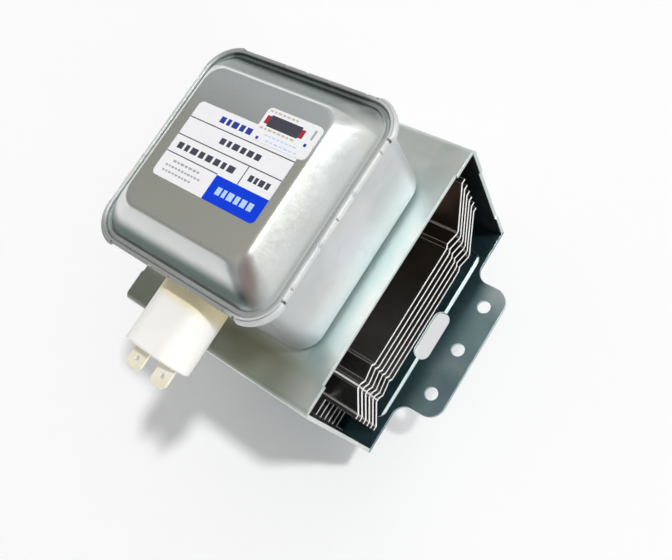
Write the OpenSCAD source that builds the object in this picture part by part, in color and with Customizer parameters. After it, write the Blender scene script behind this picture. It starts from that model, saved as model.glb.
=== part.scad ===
// Magnetron of a microwave oven, in millimetres.
// The tube stands on its axis: +Z points to the filter box, the antenna points down.
// The origin lies on the tube's axis, in the outer face of the mounting plate.
// The yoke is open towards +X and -X, and its end walls stand at +Y and -Y.

/* [Yoke] */
// Width of the yoke across its open sides
yoke_w = 81.6; // [76:0.2:90]
// Length of the yoke over its two end walls
yoke_l = 95; // [92:0.5:110]
// Height of the yoke over the mounting plate's outer face
yoke_h = 60; // [57:0.5:70]
// Sheet thickness of the yoke
yoke_t = 1.4; // [1:0.1:2]
// Outside radius of the yoke's bends
yoke_bend = 2.6; // [2.2:0.1:4]
// Depth of the shallow relief along the sheet's free edges
edge_relief = 0.6; // [0.2:0.1:1.5]
// Length of full-width sheet left beside each bend
relief_end = 10.5; // [6:0.5:16]
// Width of the tabs on the walls that are staked into the mounting plate
stake_w = 12; // [6:0.5:16]
// Distance of the staked tabs from the middle of the wall
stake_x = 22; // [16:0.5:26]
// Gap round a staked tab
stake_fit = 0.1; // [0.05:0.05:0.3]

/* [Mounting plate] */
// Sheet thickness of the mounting plate
plate_t = 1.4; // [1:0.1:2]
// Width of each flange along the yoke's side
flange_w = 53; // [48:0.5:60]
// Reach of each flange past the yoke's side
flange_reach = 15.3; // [13:0.1:20]
// Radius of a flange's outer corners
flange_corner = 6; // [2:0.5:10]
// Radius in the corner between the flange and the plate's side
flange_root = 5; // [2:0.5:8]
// Distance of the screw holes from the yoke's side
hole_offset = 8.6; // [6:0.1:10]
// Distance between neighbouring screw holes
hole_pitch = 18.3; // [15:0.1:20]
// Diameter of the screw holes
hole_d = 4.9; // [3:0.1:6]
// Rise of the pad that is pressed into the plate
pad_rise = 0.8; // [0.4:0.1:1.2]
// Width of the pad
pad_w = 76.6; // [70:0.2:78]
// Length of the pad
pad_l = 71; // [62:0.5:78]
// Corner radius of the pad
pad_corner = 4; // [2:0.5:8]
// Length of the slot across the pad's edge
slot_l = 19.4; // [12:0.2:26]
// Width of that slot
slot_w = 6; // [4.6:0.1:7]

/* [Cooling fins] */
// Sheet thickness of a fin
fin_t = 0.7; // [0.5:0.05:1]
// Distance between neighbouring fins
fin_pitch = 3.86; // [3.4:0.02:4]
// Height of the lowest fin over the anode's lower end
fin_start = 0.4; // [0.4:0.1:2]
// Distance of a fin's side edge from the yoke's open side
fin_inset = 0.7; // [0.2:0.1:3]
// Distance of the first rib from the tube's axis
fin_rib_at = 22.2; // [21.5:0.1:24]
// Rise of the ribs across a fin
fin_rib_rise = 1.6; // [0.8:0.1:2]
// Distance from the axis where a fin's end starts to bend
fin_bend_at = 30; // [29:0.1:32]
// Distance of the front bend's end from the axis
fin_lip_at = 38.4; // [37:0.1:39.5]
// Drop of the front end
fin_drop = 10.4; // [8:0.1:11]
// Rise of the back end
fin_lift = 16.6; // [12:0.1:17]
// Length of the flat lip at each end
fin_lip = 1.6; // [1:0.1:3]
// Width of the tongue that reaches the end wall
tongue_w = 54.4; // [40:0.2:64]
// Height of the collar round the anode
collar_h = 2.4; // [1.5:0.1:2.6]
// Gap between a fin and the anode, and between a tongue and its wall
fin_fit = 0.1; // [0.05:0.05:0.3]

/* [Filter box] */
// Outside width of the can
can_w = 66; // [62:0.5:72]
// Height of the can up to the top of its rim flange
can_h = 33.3; // [30:0.1:40]
// Sheet thickness of the can and the lid
can_t = 0.6; // [0.5:0.05:0.8]
// Outside radius of the can's upright corners
can_corner = 8.2; // [6:0.1:12]
// Outside radius round the can's floor
can_floor_r = 3; // [2:0.1:4]
// Reach of the folded rim past the can's wall
rim_reach = 2.3; // [1.8:0.1:3.5]
// Width of the lip that is folded over the lid
rim_lip = 1.1; // [0.9:0.1:1.8]
// Number of crimp cuts along each side of the rim
crimp_count = 7; // [3:1:9]
// Width of a crimp cut
crimp_w = 0.9; // [0.5:0.1:1.5]
// Gap between the lid and the can
lid_fit = 0.2; // [0.1:0.05:0.4]
// Radius of the groove inside the rim
groove_r = 0.7; // [0.5:0.1:1]
// Depth of the groove below the lid's flange
groove_depth = 0.9; // [0.7:0.1:2]
// Width of the raised panel
panel_w = 46.6; // [38:0.2:50]
// Height of the raised panel over the lid's flange
panel_rise = 9.1; // [5:0.1:12]
// Radius of the panel's edge
panel_edge_r = 2.6; // [1.5:0.1:4]
// Corner radius of the panel
panel_corner = 5.6; // [4:0.1:8]
// Distance of the rivets between can and yoke from the axis, along X and Y
rivet_at = 24.5; // [23:0.1:25]
// Diameter of a rivet's shank
rivet_d = 4; // [3:0.1:5]

/* [Feed-through capacitor] */
// Height of the capacitor's middle over the yoke
cap_z = 19; // [14:0.5:20]
// Width of the connector housing
housing_w = 23; // [20:0.5:26]
// Thickness of the connector housing
housing_h = 14.4; // [12:0.2:16]
// Length of the connector housing
housing_l = 22; // [16:0.5:28]
// Rounding at the housing's free end
housing_edge = 1; // [0.5:0.1:2]
// Width of the capacitor's steel flange
cap_flange_w = 38; // [34:0.5:42]
// Thickness of that flange
cap_flange_t = 0.8; // [0.5:0.1:1.5]
// Distance between the two flange screws
cap_screw_gap = 30; // [29:0.5:32]
// Diameter of a flange screw
cap_screw_d = 3; // [2:0.1:3.5]
// Reach of the capacitor's case into the can
cap_case_l = 18; // [12:0.5:20]
// Width of a tab terminal
tab_w = 6.3; // [4.8:0.1:6.5]
// Thickness of a tab terminal
tab_t = 0.8; // [0.5:0.05:1]
// Free length of a tab terminal
tab_l = 6.6; // [6:0.1:9]
// Distance between the two tab terminals, middle to middle
tab_gap = 11; // [9:0.1:12]
// Diameter of the hole in a tab
tab_hole_d = 1.7; // [1:0.1:2]
// Gap round a tab inside the housing
tab_fit = 0.1; // [0.05:0.05:0.3]

/* [Chokes] */
// Distance of a choke from the tube's axis
choke_x = 18; // [17:0.5:22]
// Diameter of a choke's ferrite rod
core_d = 5.6; // [4:0.1:6]
// Length of a choke's ferrite rod
core_l = 26; // [20:0.5:30]
// Wire diameter of a choke
wire_d = 1.3; // [1:0.1:1.4]
// Number of turns of a choke
choke_turns = 9; // [5:1:10]
// Gap between the wire and the rod
choke_fit = 0.1; // [0.05:0.05:0.3]

/* [Magnets] */
// Outside diameter of a ring magnet
magnet_d = 54; // [48:0.5:55]
// Height of a ring magnet
magnet_h = 12; // [10:0.1:12.5]
// Gap between a magnet and the seal tube inside it
magnet_fit = 0.7; // [0.3:0.1:1]

/* [Tube] */
// Outside diameter of the anode
anode_d = 39; // [36:0.2:41]
// Wall of the anode cylinder
anode_wall = 2; // [1.5:0.1:2.5]
// Height of the anode vanes
vane_h = 9.5; // [8:0.1:10.5]
// Thickness of a vane
vane_t = 1.8; // [1.2:0.1:2]
// Diameter of the bore between the vanes
vane_bore = 9; // [8.6:0.1:10]
// Number of vanes
vane_count = 10; // [8:2:12]
// Radial width of a strap ring
strap_w = 0.9; // [0.6:0.1:1]
// Height of a strap ring
strap_h = 0.8; // [0.5:0.1:1]
// Gap between the vane edges and the pole pieces
pole_gap = 1.6; // [1.2:0.1:2]
// Sheet thickness of the pole pieces
pole_t = 1.2; // [1:0.1:1.6]
// Diameter of the hole through a pole piece
pole_bore = 9.4; // [9:0.1:10]
// Sheet thickness of the seal cups
seal_t = 0.5; // [0.4:0.05:0.7]
// Outside diameter of the seal tubes
seal_d = 19; // [18:0.1:20]
// Height of the stem's seal tube over the yoke
stem_seal_h = 6; // [4:0.5:8]
// Diameter of the stem ceramic
stem_d = 17.6; // [16:0.1:18]
// Height of the stem ceramic
stem_h = 10; // [8:0.5:12]
// Diameter of the cathode leads
lead_d = 1.5; // [1:0.1:1.8]
// Distance of the side lead from the axis
side_lead_at = 3; // [2.6:0.1:3.2]
// Outside diameter of the filament coil
filament_d = 4; // [3.6:0.1:4.4]
// Wire diameter of the filament
filament_wire = 0.5; // [0.4:0.05:0.6]
// Number of turns of the filament
filament_turns = 7; // [5:1:8]
// Diameter of the end hats
hat_d = 7.8; // [7.6:0.1:8.2]

/* [Output] */
// Depth of the output seal's end below the mounting face
out_seal_drop = 7; // [5:0.5:9]
// Diameter of the output ceramic
out_ceramic_d = 16; // [14.5:0.1:17]
// Length of the output ceramic
out_ceramic_l = 10; // [8:0.5:12]
// Wall of the output ceramic
out_ceramic_wall = 1.8; // [1.4:0.1:2.4]
// Diameter of the antenna cap
ant_cap_d = 15.2; // [14:0.1:16]
// Length of the antenna cap
ant_cap_l = 12; // [10:0.5:16]
// Sheet thickness of the antenna cap
ant_cap_t = 0.5; // [0.4:0.05:0.8]
// Diameter of the antenna lead
ant_lead_d = 2.2; // [1.6:0.1:2.4]
// Outside diameter of the mesh gasket
gasket_d = 36; // [33:0.5:40]
// Inside diameter of the mesh gasket
gasket_bore = 26; // [25:0.5:28]
// Height of the mesh gasket
gasket_h = 4; // [3:0.1:5]

/* [Hidden] */
$fn = 64;
over = 1;
fins = 6;
arc_steps = 6;
ring_steps = 7;

// Yoke
side_x = yoke_w / 2;
wall_in = yoke_l / 2 - yoke_t;
roof_in = yoke_h - yoke_t;
pad_top = plate_t + pad_rise;

// Tube stack between the pad and the yoke's roof
seal_r = seal_d / 2;
magnet_bore = seal_d + 2 * magnet_fit;
anode_z0 = pad_top + magnet_h + seal_t + pole_t;
anode_z1 = roof_in - magnet_h - seal_t - pole_t;
tube_mid = (anode_z0 + anode_z1) / 2;
anode_r = anode_d / 2;
anode_in = anode_r - anode_wall;
stem_top = yoke_h + stem_seal_h + stem_h;

// Filter box
can_half = can_w / 2;
can_top = yoke_h + can_h;
rim_half = can_half + rim_reach;
rim_corner = can_corner + rim_reach;
corner_at = can_half - can_corner;
panel_z = can_top + can_t + panel_rise;
tube_hole_d = seal_d + 2 * magnet_fit;
rivet_head_d = rivet_d + 2.4;
rivet_head_h = 0.9;

// Capacitor
cap_mid = yoke_h + cap_z;
cap_front = -can_half - cap_flange_t;
cap_case_w = housing_w - 3;
cap_case_h = housing_h - 2.6;
cap_case_fit = 0.3;
tab_tip = cap_front - housing_l - tab_l;
tab_back = -can_half + can_t + cap_case_l + 3;
tab_taper = 1.3;

// Cathode
hat_t = 0.9;
hat_gap = 0.4;
hat_hub = 0.8;
hat_low = tube_mid - vane_h / 2 - hat_gap;
hat_high = tube_mid + vane_h / 2 + hat_gap;
lead_top = stem_top + 3;
lead_fit = 0.1;

// Chokes
coil_r = core_d / 2 + choke_fit + wire_d / 2;
coil_pitch = (core_l - 2 * wire_d) / choke_turns;
choke_z = lead_top - wire_d;

// Unit normal of a line in the plane
function side_of(a, b) = let (d = b - a) [-d[1], d[0]] / norm(d);
// Line beside a path at distance h
function beside(p, h) = [for (i = [0:len(p) - 1]) let (
    n0 = side_of(p[max(i - 1, 0)], p[max(i, 1)]),
    n1 = i < len(p) - 1 ? side_of(p[i], p[i + 1]) : n0,
    m = n0 + n1) p[i] + m * (2 * h / (m * m))];
// Points in the opposite order
function backwards(p) = [for (i = [len(p) - 1:-1:0]) p[i]];
// Outline of a sheet of thickness t along a path
function sheet(p, t) = concat(beside(p, t / 2), backwards(beside(p, -t / 2)));
// Points on an arc
function arc(c, r, a0, a1) = [for (k = [0:arc_steps]) c + r * [
    cos(a0 + (a1 - a0) * k / arc_steps),
    sin(a0 + (a1 - a0) * k / arc_steps)]];
// Height of a fin's flat middle, counted from the top
function fin_z(i) = anode_z0 + fin_start + fin_t / 2 + (fins - i) * fin_pitch;

// Rectangle with round corners, centred
module round_rect(w, l, r) {
    square([w - 2 * r, l], center = true);
    square([w, l - 2 * r], center = true);
    for (sx = [-1, 1]) for (sy = [-1, 1]) translate([sx * (w / 2 - r), sy * (l / 2 - r)]) circle(r);
}

// Slot shape with round ends, centred, long side along X
module stadium(w, h) {
    square([w - h, h], center = true);
    for (s = [-1, 1]) translate([s * (w - h) / 2, 0]) circle(h / 2);
}

// Arch with round upper corners, standing on the axis
module arch(l, h, r) {
    translate([-l / 2, 0]) square([l, h - r]);
    translate([-l / 2 + r, 0]) square([l - 2 * r, h]);
    for (s = [-1, 1]) translate([s * (l / 2 - r), h - r]) circle(r);
}

// Puts a shape drawn in Y and Z across the yoke's width
module across(w) {
    rotate([90, 0, 90]) linear_extrude(w, center = true) children();
}

// Carries a section round a square with round corners
module round_square(at) {
    for (k = [0:3]) rotate(90 * k) {
        translate([at, at, 0]) rotate_extrude(angle = 90) children();
        translate([at, 0, 0]) rotate([90, 0, 0]) linear_extrude(2 * at, center = true) children();
    }
}

// Puts a shape drawn in X and Z along Y, from y = y0 towards -Y
module forward(y0, l) {
    translate([0, y0, 0]) rotate([90, 0, 0]) linear_extrude(l) children();
}

// Ring of rectangular section on the axis
module ring(d_out, d_in, z0, z1) {
    translate([0, 0, z0]) difference() {
        cylinder(d = d_out, h = z1 - z0);
        translate([0, 0, -over]) cylinder(d = d_in, h = z1 - z0 + 2 * over);
    }
}

// Screw hole places on both flanges
module at_holes() {
    for (s = [-1, 1]) for (k = [-1:1]) translate([s * (side_x + hole_offset), k * hole_pitch, 0]) children();
}

// Steel strip bent to a U: roof and two end walls with staked tabs
module yoke_frame() {
    color("silver") difference() {
        union() {
            across(yoke_w) translate([0, plate_t]) difference() {
                arch(yoke_l, yoke_h - plate_t, yoke_bend);
                translate([0, -over]) arch(2 * wall_in, roof_in - plate_t + over, yoke_bend - yoke_t);
            }
            for (sx = [-1, 1]) for (sy = [-1, 1])
                translate([sx * stake_x - stake_w / 2, sy * (wall_in + yoke_t / 2) - yoke_t / 2, 0])
                    cube([stake_w, yoke_t, plate_t + over]);
        }
        translate([0, 0, roof_in - over]) cylinder(d = tube_hole_d, h = yoke_t + 2 * over);
        for (sx = [-1, 1]) for (sy = [-1, 1])
            translate([sx * rivet_at, sy * rivet_at, roof_in - over]) cylinder(d = rivet_d, h = yoke_t + 2 * over);
        for (s = [-1, 1]) {
            translate([s * (side_x + over - edge_relief / 2), 0, roof_in])
                cube([2 * over + edge_relief, yoke_l - 2 * relief_end, 4 * yoke_t], center = true);
            translate([s * (side_x + over - edge_relief / 2), 0, yoke_h / 2])
                cube([2 * over + edge_relief, yoke_l + 2 * over, yoke_h - 2.6 * relief_end], center = true);
        }
    }
}

// Outline of the mounting plate with its flanges and root fillets
module plate_outline() {
    square([yoke_w, yoke_l], center = true);
    round_rect(yoke_w + 2 * flange_reach, flange_w, flange_corner);
    for (sx = [-1, 1]) for (sy = [-1, 1]) scale([sx, sy]) translate([side_x, flange_w / 2]) difference() {
        translate([-over, -over]) square(flange_root + over);
        translate([flange_root, flange_root]) circle(flange_root);
    }
}

// Pressed pad with sloping sides, its base grown by g
module pad(w, l, h, slope) {
    intersection() {
        rotate([90, 0, 0]) linear_extrude(2 * l, center = true)
            polygon([[-w / 2 - slope, 0], [w / 2 + slope, 0], [w / 2, h], [-w / 2, h]]);
        across(2 * w)
            polygon([[-l / 2 - slope, 0], [l / 2 + slope, 0], [l / 2, h], [-l / 2, h]]);
        linear_extrude(h) round_rect(w + 2 * slope, l + 2 * slope, pad_corner);
    }
}

// Flat steel plate with a pressed pad, two flanges, screw holes and slots
module mounting_plate() {
    color("lightslategray") difference() {
        union() {
            linear_extrude(plate_t) plate_outline();
            translate([0, 0, plate_t]) pad(pad_w - pad_rise, pad_l - pad_rise, pad_rise, pad_rise);
        }
        pad(pad_w - pad_rise - 2 * plate_t, pad_l - pad_rise - 2 * plate_t, pad_rise, pad_rise);
        at_holes() translate([0, 0, -over]) cylinder(d = hole_d, h = plate_t + 2 * over);
        for (s = [-1, 1]) translate([s * pad_w / 2, 0, -over]) linear_extrude(pad_top + 2 * over)
            rotate(90) stadium(slot_l, slot_w);
        translate([0, 0, -over]) cylinder(d = tube_hole_d, h = pad_top + 2 * over);
        for (sx = [-1, 1]) for (sy = [-1, 1])
            translate([sx * stake_x, sy * (wall_in + yoke_t), plate_t / 2])
                cube([stake_w + 2 * stake_fit, 2 * (yoke_t + stake_fit), plate_t + 2 * over], center = true);
    }
}

// Middle line of a fin from the front lip to the back lip, in Y and Z
fin_path = [
    [-wall_in + fin_fit, -fin_drop],
    [-fin_lip_at, -fin_drop],
    [-fin_bend_at - fin_rib_rise, fin_rib_rise * 0.8],
    [-fin_bend_at, fin_rib_rise * 0.8],
    [-fin_bend_at + fin_rib_rise, -fin_rib_rise * 0.3],
    [-fin_rib_at - fin_rib_rise * 0.6, fin_rib_rise],
    [-fin_rib_at, 0],
    [fin_rib_at, 0],
    [fin_rib_at + fin_rib_rise * 0.6, fin_rib_rise],
    [fin_bend_at - fin_rib_rise, -fin_rib_rise * 0.4],
    [fin_bend_at - fin_rib_rise * 0.5, -fin_rib_rise * 0.3],
    [fin_lip_at, fin_lift],
    [wall_in - fin_fit, fin_lift]];

// Aluminium fin: ribs across it, the front end bent down, the back end bent up
module cooling_fin(i) {
    color("lightgray") translate([0, 0, fin_z(i)]) difference() {
        union() {
            across(yoke_w - 2 * fin_inset) polygon(sheet(fin_path, fin_t));
            ring(anode_d + 2 * fin_fit + 2 * fin_t, anode_d + 2 * fin_fit, -fin_t / 2, collar_h);
        }
        translate([0, 0, -over]) cylinder(d = anode_d + 2 * fin_fit, h = collar_h + 2 * over);
        for (sx = [-1, 1]) for (sy = [-1, 1])
            translate([sx * (tongue_w / 2 + yoke_w / 2), sy * (fin_lip_at + fin_lip + yoke_l / 2), sy > 0 ? fin_lift : -fin_drop])
                cube([yoke_w, yoke_l, 4 * fin_t], center = true);
    }
}

// Section of the can's sheet, measured outwards from the corner's axis
can_path = concat(
    [[0, can_t / 2]],
    arc([can_corner - can_floor_r, can_floor_r], can_floor_r - can_t / 2, -90, 0),
    [[can_corner - can_t / 2, can_h - can_t / 2],
    [rim_corner - can_t / 2, can_h - can_t / 2],
    [rim_corner - can_t / 2, can_h + 3 * can_t / 2],
    [rim_corner - rim_lip, can_h + 3 * can_t / 2]]);

// Deep-drawn can with its rim folded over the lid
module filter_can() {
    color("gainsboro") difference() {
        translate([0, 0, yoke_h]) union() {
            round_square(corner_at) polygon(sheet(can_path, can_t));
            translate([-corner_at, -corner_at, 0]) cube([2 * corner_at, 2 * corner_at, can_t]);
        }
        translate([0, 0, yoke_h - over]) cylinder(d = tube_hole_d, h = can_t + 2 * over);
        for (sx = [-1, 1]) for (sy = [-1, 1])
            translate([sx * rivet_at, sy * rivet_at, yoke_h - over]) cylinder(d = rivet_d, h = can_t + 2 * over);
        forward(-can_half + can_t + over, can_t + 2 * over) translate([0, cap_mid])
            stadium(cap_case_w + 2 * cap_case_fit, cap_case_h + 2 * cap_case_fit);
        for (s = [-1, 1]) forward(-can_half + can_t + over, can_t + 2 * over)
            translate([s * cap_screw_gap / 2, cap_mid]) circle(d = cap_screw_d);
        for (k = [0:3]) rotate(90 * k) for (j = [0:crimp_count - 1])
            translate([rim_half, 2 * corner_at * ((j + 0.5) / crimp_count - 0.5), can_top + can_t])
                cube([2 * can_t, crimp_w, 3 * can_t], center = true);
    }
}

// Section of the lid from its flange to the panel, as half width and height
groove_out = can_half - can_t - lid_fit - can_t / 2;
groove_at = [groove_out - groove_r, can_top + can_t / 2 - groove_depth + groove_r];
panel_at = [panel_w / 2 - panel_edge_r * 0.4, panel_z - can_t / 2 - panel_edge_r];
bevel = atan2(panel_rise + groove_depth - panel_edge_r, groove_at[0] - panel_at[0] - panel_edge_r * 0.6);
lid_path = concat(
    [[rim_half - can_t - lid_fit, can_top + can_t / 2],
    [groove_out, can_top + can_t / 2]],
    arc(groove_at, groove_r, -20, -90 - bevel),
    arc(panel_at, panel_edge_r, 90 - bevel, 90));

// Corner radius that belongs to a half width of the lid
function lid_corner(h) = max(panel_corner, h - corner_at);
// Ring of points with round corners at one half width and height
function lid_ring(p) = [for (k = [0:3]) for (j = [0:ring_steps]) let (
    r = lid_corner(p[0]),
    a = 90 * (k + j / ring_steps),
    sx = k == 0 || k == 3 ? 1 : -1,
    sy = k < 2 ? 1 : -1)
    [sx * (p[0] - r) + r * cos(a), sy * (p[0] - r) + r * sin(a), p[1]]];

// Pressed lid with a flange, a groove and a raised panel
module filter_lid() {
    upper = beside(lid_path, -can_t / 2);
    lower = beside(lid_path, can_t / 2);
    rings = concat(backwards(upper), lower);
    n = 4 * (ring_steps + 1);
    m = len(rings);
    color("gainsboro") polyhedron(
        points = [for (p = rings) each lid_ring(p)],
        faces = concat(
            [[for (j = [n - 1:-1:0]) j]],
            [for (i = [0:m - 2]) for (j = [0:n - 1]) [i * n + j, i * n + (j + 1) % n, (i + 1) * n + (j + 1) % n]],
            [for (i = [0:m - 2]) for (j = [0:n - 1]) [i * n + j, (i + 1) * n + (j + 1) % n, (i + 1) * n + j]],
            [[for (j = [0:n - 1]) (m - 1) * n + j]]));
}

// Four rivets that hold the can on the yoke's roof
module can_rivets() {
    color("darkgray") for (sx = [-1, 1]) for (sy = [-1, 1]) translate([sx * rivet_at, sy * rivet_at, 0]) {
        translate([0, 0, roof_in]) cylinder(d = rivet_d, h = yoke_t + can_t);
        translate([0, 0, yoke_h + can_t]) cylinder(d = rivet_head_d, h = rivet_head_h);
        translate([0, 0, roof_in - rivet_head_h]) cylinder(d = rivet_head_d, h = rivet_head_h);
    }
}

// Slots in the capacitor's plastic for the two tabs
module tab_slots(y0, l) {
    for (s = [-1, 1]) forward(y0, l) translate([s * tab_gap / 2, cap_mid])
        square([tab_w + 2 * tab_fit, tab_t + 2 * tab_fit], center = true);
}

// White plastic housing with round sides and a rounded free end
module connector_housing() {
    color("ivory") difference() {
        union() {
            forward(cap_front, housing_l - housing_edge) translate([0, cap_mid]) stadium(housing_w, housing_h);
            hull() {
                forward(cap_front - housing_l + 1.5 * housing_edge, housing_edge) translate([0, cap_mid])
                    stadium(housing_w, housing_h, $fn = 40);
                forward(cap_front - housing_l + 2 * housing_edge, 1.7 * housing_edge) translate([0, cap_mid])
                    stadium(housing_w - 0.6 * housing_edge, housing_h - 0.6 * housing_edge, $fn = 40);
                forward(cap_front - housing_l + 2 * housing_edge, 2 * housing_edge) translate([0, cap_mid])
                    stadium(housing_w - 2 * housing_edge, housing_h - 2 * housing_edge, $fn = 40);
            }
        }
        tab_slots(cap_front + over, housing_l + 2 * over);
    }
}

// Steel flange of the capacitor on the can's front wall
module capacitor_flange() {
    color("silver") difference() {
        forward(-can_half, cap_flange_t) translate([0, cap_mid]) stadium(cap_flange_w, housing_h + 1);
        forward(-can_half + over, cap_flange_t + 2 * over) translate([0, cap_mid])
            stadium(cap_case_w - 2, cap_case_h - 2);
        for (s = [-1, 1]) forward(-can_half + over, cap_flange_t + 2 * over)
            translate([s * cap_screw_gap / 2, cap_mid]) circle(d = cap_screw_d);
    }
}

// Two rivets of the capacitor's flange
module capacitor_screws() {
    color("darkgray") for (s = [-1, 1]) translate([s * cap_screw_gap / 2, 0, 0]) {
        forward(-can_half + can_t, can_t + cap_flange_t) translate([0, cap_mid]) circle(d = cap_screw_d);
        forward(cap_front, 0.8) translate([0, cap_mid]) circle(d = cap_screw_d + 1.6);
        forward(-can_half + can_t + 0.8, 0.8) translate([0, cap_mid]) circle(d = cap_screw_d + 1.6);
    }
}

// Part of the capacitor inside the can
module capacitor_case() {
    color("steelblue") difference() {
        forward(-can_half + can_t + cap_case_l, can_t + cap_case_l) translate([0, cap_mid])
            stadium(cap_case_w, cap_case_h);
        tab_slots(-can_half + can_t + cap_case_l + over, can_t + cap_case_l + 2 * over);
    }
}

// Flat tab terminal that runs through the capacitor; s is its side
module terminal_tab(s) {
    color("khaki") translate([s * tab_gap / 2, 0, cap_mid - tab_t / 2]) linear_extrude(tab_t) difference() {
        polygon([
            [-tab_w / 2, tab_back], [tab_w / 2, tab_back],
            [tab_w / 2, tab_tip + tab_taper], [tab_w / 2 - tab_taper, tab_tip],
            [-tab_w / 2 + tab_taper, tab_tip], [-tab_w / 2, tab_tip + tab_taper]]);
        translate([0, tab_tip + tab_l / 2]) circle(d = tab_hole_d, $fn = 32);
    }
}

// Route of a choke's wire: from the tab, round the rod and on to the stem
function choke_route(s, target) = concat(
    [[s * (tab_gap / 2 + tab_w / 2 + 0.6 * wire_d), tab_back - 1.2 * wire_d, cap_mid],
    [s * (tab_gap / 2 + tab_w / 2 + 1.2 * wire_d), -core_l / 2 + wire_d, choke_z - 0.5 * coil_r],
    [s * (choke_x - coil_r), -core_l / 2 + wire_d, choke_z - coil_r]],
    [for (k = [0:12 * choke_turns - 6]) let (a = 30 * k - 90)
        [s * (choke_x + coil_r * cos(a)), -core_l / 2 + wire_d + coil_pitch * k / 12, choke_z + coil_r * sin(a)]],
    [[s * (choke_x - 1.6 * coil_r), core_l / 2 - 2 * wire_d, choke_z + coil_r],
    [s * (abs(target) + lead_d / 2 + 3 * wire_d), core_l / 4, lead_top - wire_d / 2],
    [target + s * (lead_d / 2 + 0.6 * wire_d), 0, lead_top - wire_d / 2]]);

// Tube along a route, with six sides
module wire(route, d, axis) {
    n = 6;
    m = len(route);
    points = [for (i = [0:m - 1]) let (
        t = route[min(i + 1, m - 1)] - route[max(i - 1, 0)],
        u0 = cross(axis, t),
        u = u0 / norm(u0),
        v0 = cross(t, u),
        v = v0 / norm(v0))
        for (j = [0:n - 1]) route[i] + d / 2 * (cos(360 * j / n) * u + sin(360 * j / n) * v)];
    faces = concat(
        [[for (j = [0:n - 1]) j]],
        [for (i = [0:m - 2]) for (j = [0:n - 1]) [i * n + j, (i + 1) * n + j, (i + 1) * n + (j + 1) % n]],
        [for (i = [0:m - 2]) for (j = [0:n - 1]) [i * n + j, (i + 1) * n + (j + 1) % n, i * n + (j + 1) % n]],
        [[for (j = [n - 1:-1:0]) (m - 1) * n + j]]);
    polyhedron(points, faces);
}

// Copper choke winding; s is its side
module choke_coil(s) {
    color("peru") wire(choke_route(s, s > 0 ? side_lead_at : 0), wire_d, [0, 1, 0]);
}

// Ferrite rod of a choke
module choke_core(s) {
    color("dimgray") translate([s * choke_x, core_l / 2, choke_z]) rotate([90, 0, 0]) cylinder(d = core_d, h = core_l);
}

// Ferrite ring under the yoke's roof
module magnet_upper() {
    color([0.2, 0.2, 0.21]) ring(magnet_d, magnet_bore, roof_in - magnet_h, roof_in);
}

// Ferrite ring on the mounting plate's pad
module magnet_lower() {
    color([0.2, 0.2, 0.21]) ring(magnet_d, magnet_bore, pad_top, pad_top + magnet_h);
}

// Copper cylinder of the anode
module anode_cylinder() {
    color("chocolate") ring(anode_d, 2 * anode_in, anode_z0, anode_z1);
}

// Radius of the inner strap groove
strap_r = vane_bore / 2 + 1.1;
strap_step = strap_w + 0.8;
strap_fit = 0.05;

// Strap ring places: two above and two below the vanes
module at_straps(grow) {
    for (s = [-1, 1]) for (k = [0, 1]) {
        z0 = tube_mid + s * (vane_h / 2 - strap_h / 2) - strap_h / 2;
        ring(2 * (strap_r + k * strap_step + strap_w + grow), 2 * (strap_r + k * strap_step - grow),
            z0 - (s < 0 ? 2 * grow : 0), z0 + strap_h + (s > 0 ? 2 * grow : 0));
    }
}

// Copper vanes that point at the cathode
module anode_vanes() {
    color("sandybrown") difference() {
        intersection() {
            for (k = [0:vane_count - 1]) rotate(360 * k / vane_count)
                translate([vane_bore / 2, -vane_t / 2, tube_mid - vane_h / 2]) cube([anode_in, vane_t, vane_h]);
            cylinder(r = anode_in - strap_fit, h = yoke_h);
        }
        at_straps(strap_fit);
    }
}

// Strap rings in the vanes' edges
module strap_rings() {
    color("goldenrod") at_straps(0);
}

// Section of a pole piece: brim, cone and nose, from the nose's height up
module pole_section(nose) {
    r0 = pole_bore / 2;
    polygon(concat(
        [[r0, 0], [r0 + 2.2, 0]],
        [[anode_in - 2.4, nose - pole_t], [anode_in - 0.6, nose - pole_t], [anode_in - 0.6, nose], [anode_r, nose],
        [anode_r, nose + pole_t], [anode_in - 3, nose + pole_t], [r0 + 1.6, pole_t], [r0, pole_t]]));
}

// Soft-iron pole piece at the cathode's end
module pole_piece_upper() {
    z = tube_mid + vane_h / 2 + pole_gap;
    color("slategray") translate([0, 0, z]) rotate_extrude() pole_section(anode_z1 - z);
}

// Soft-iron pole piece at the antenna's end, with a hole for the antenna lead
module pole_piece_lower() {
    z = tube_mid - vane_h / 2 - pole_gap;
    color("slategray") difference() {
        translate([0, 0, z]) mirror([0, 0, 1]) rotate_extrude() pole_section(z - anode_z0);
        translate([ant_lead_at, 0, 0]) cylinder(d = ant_lead_d + 1, h = tube_mid);
    }
}

// Helical filament between the end hats
module filament() {
    z0 = hat_low + filament_wire / 2 + strap_fit;
    z1 = hat_high - filament_wire / 2 - strap_fit;
    r = filament_d / 2 - filament_wire / 2;
    color("dimgray") wire([for (k = [0:10 * filament_turns]) let (a = 36 * k)
        [r * cos(a), r * sin(a), z0 + (z1 - z0) * k / (10 * filament_turns)]], filament_wire, [0, 0, 1]);
}

// Upper end hat on the side lead
module end_hat_upper() {
    color("gray") difference() {
        translate([0, 0, hat_high]) union() {
            cylinder(d = hat_d, h = hat_t);
            cylinder(d = hat_d - 2, h = hat_t + hat_hub);
        }
        translate([0, 0, hat_high - over]) cylinder(d = lead_d + 2 * lead_fit, h = 4 * over);
    }
}

// Lower end hat on the end of the centre lead
module end_hat_lower() {
    color("gray") translate([0, 0, hat_low - hat_t]) cylinder(d = hat_d, h = hat_t);
}

// Rod from the lower end hat through the filament to the stem
module centre_lead() {
    color("darkgray") translate([0, 0, hat_low]) cylinder(d = lead_d, h = lead_top - hat_low);
}

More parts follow.
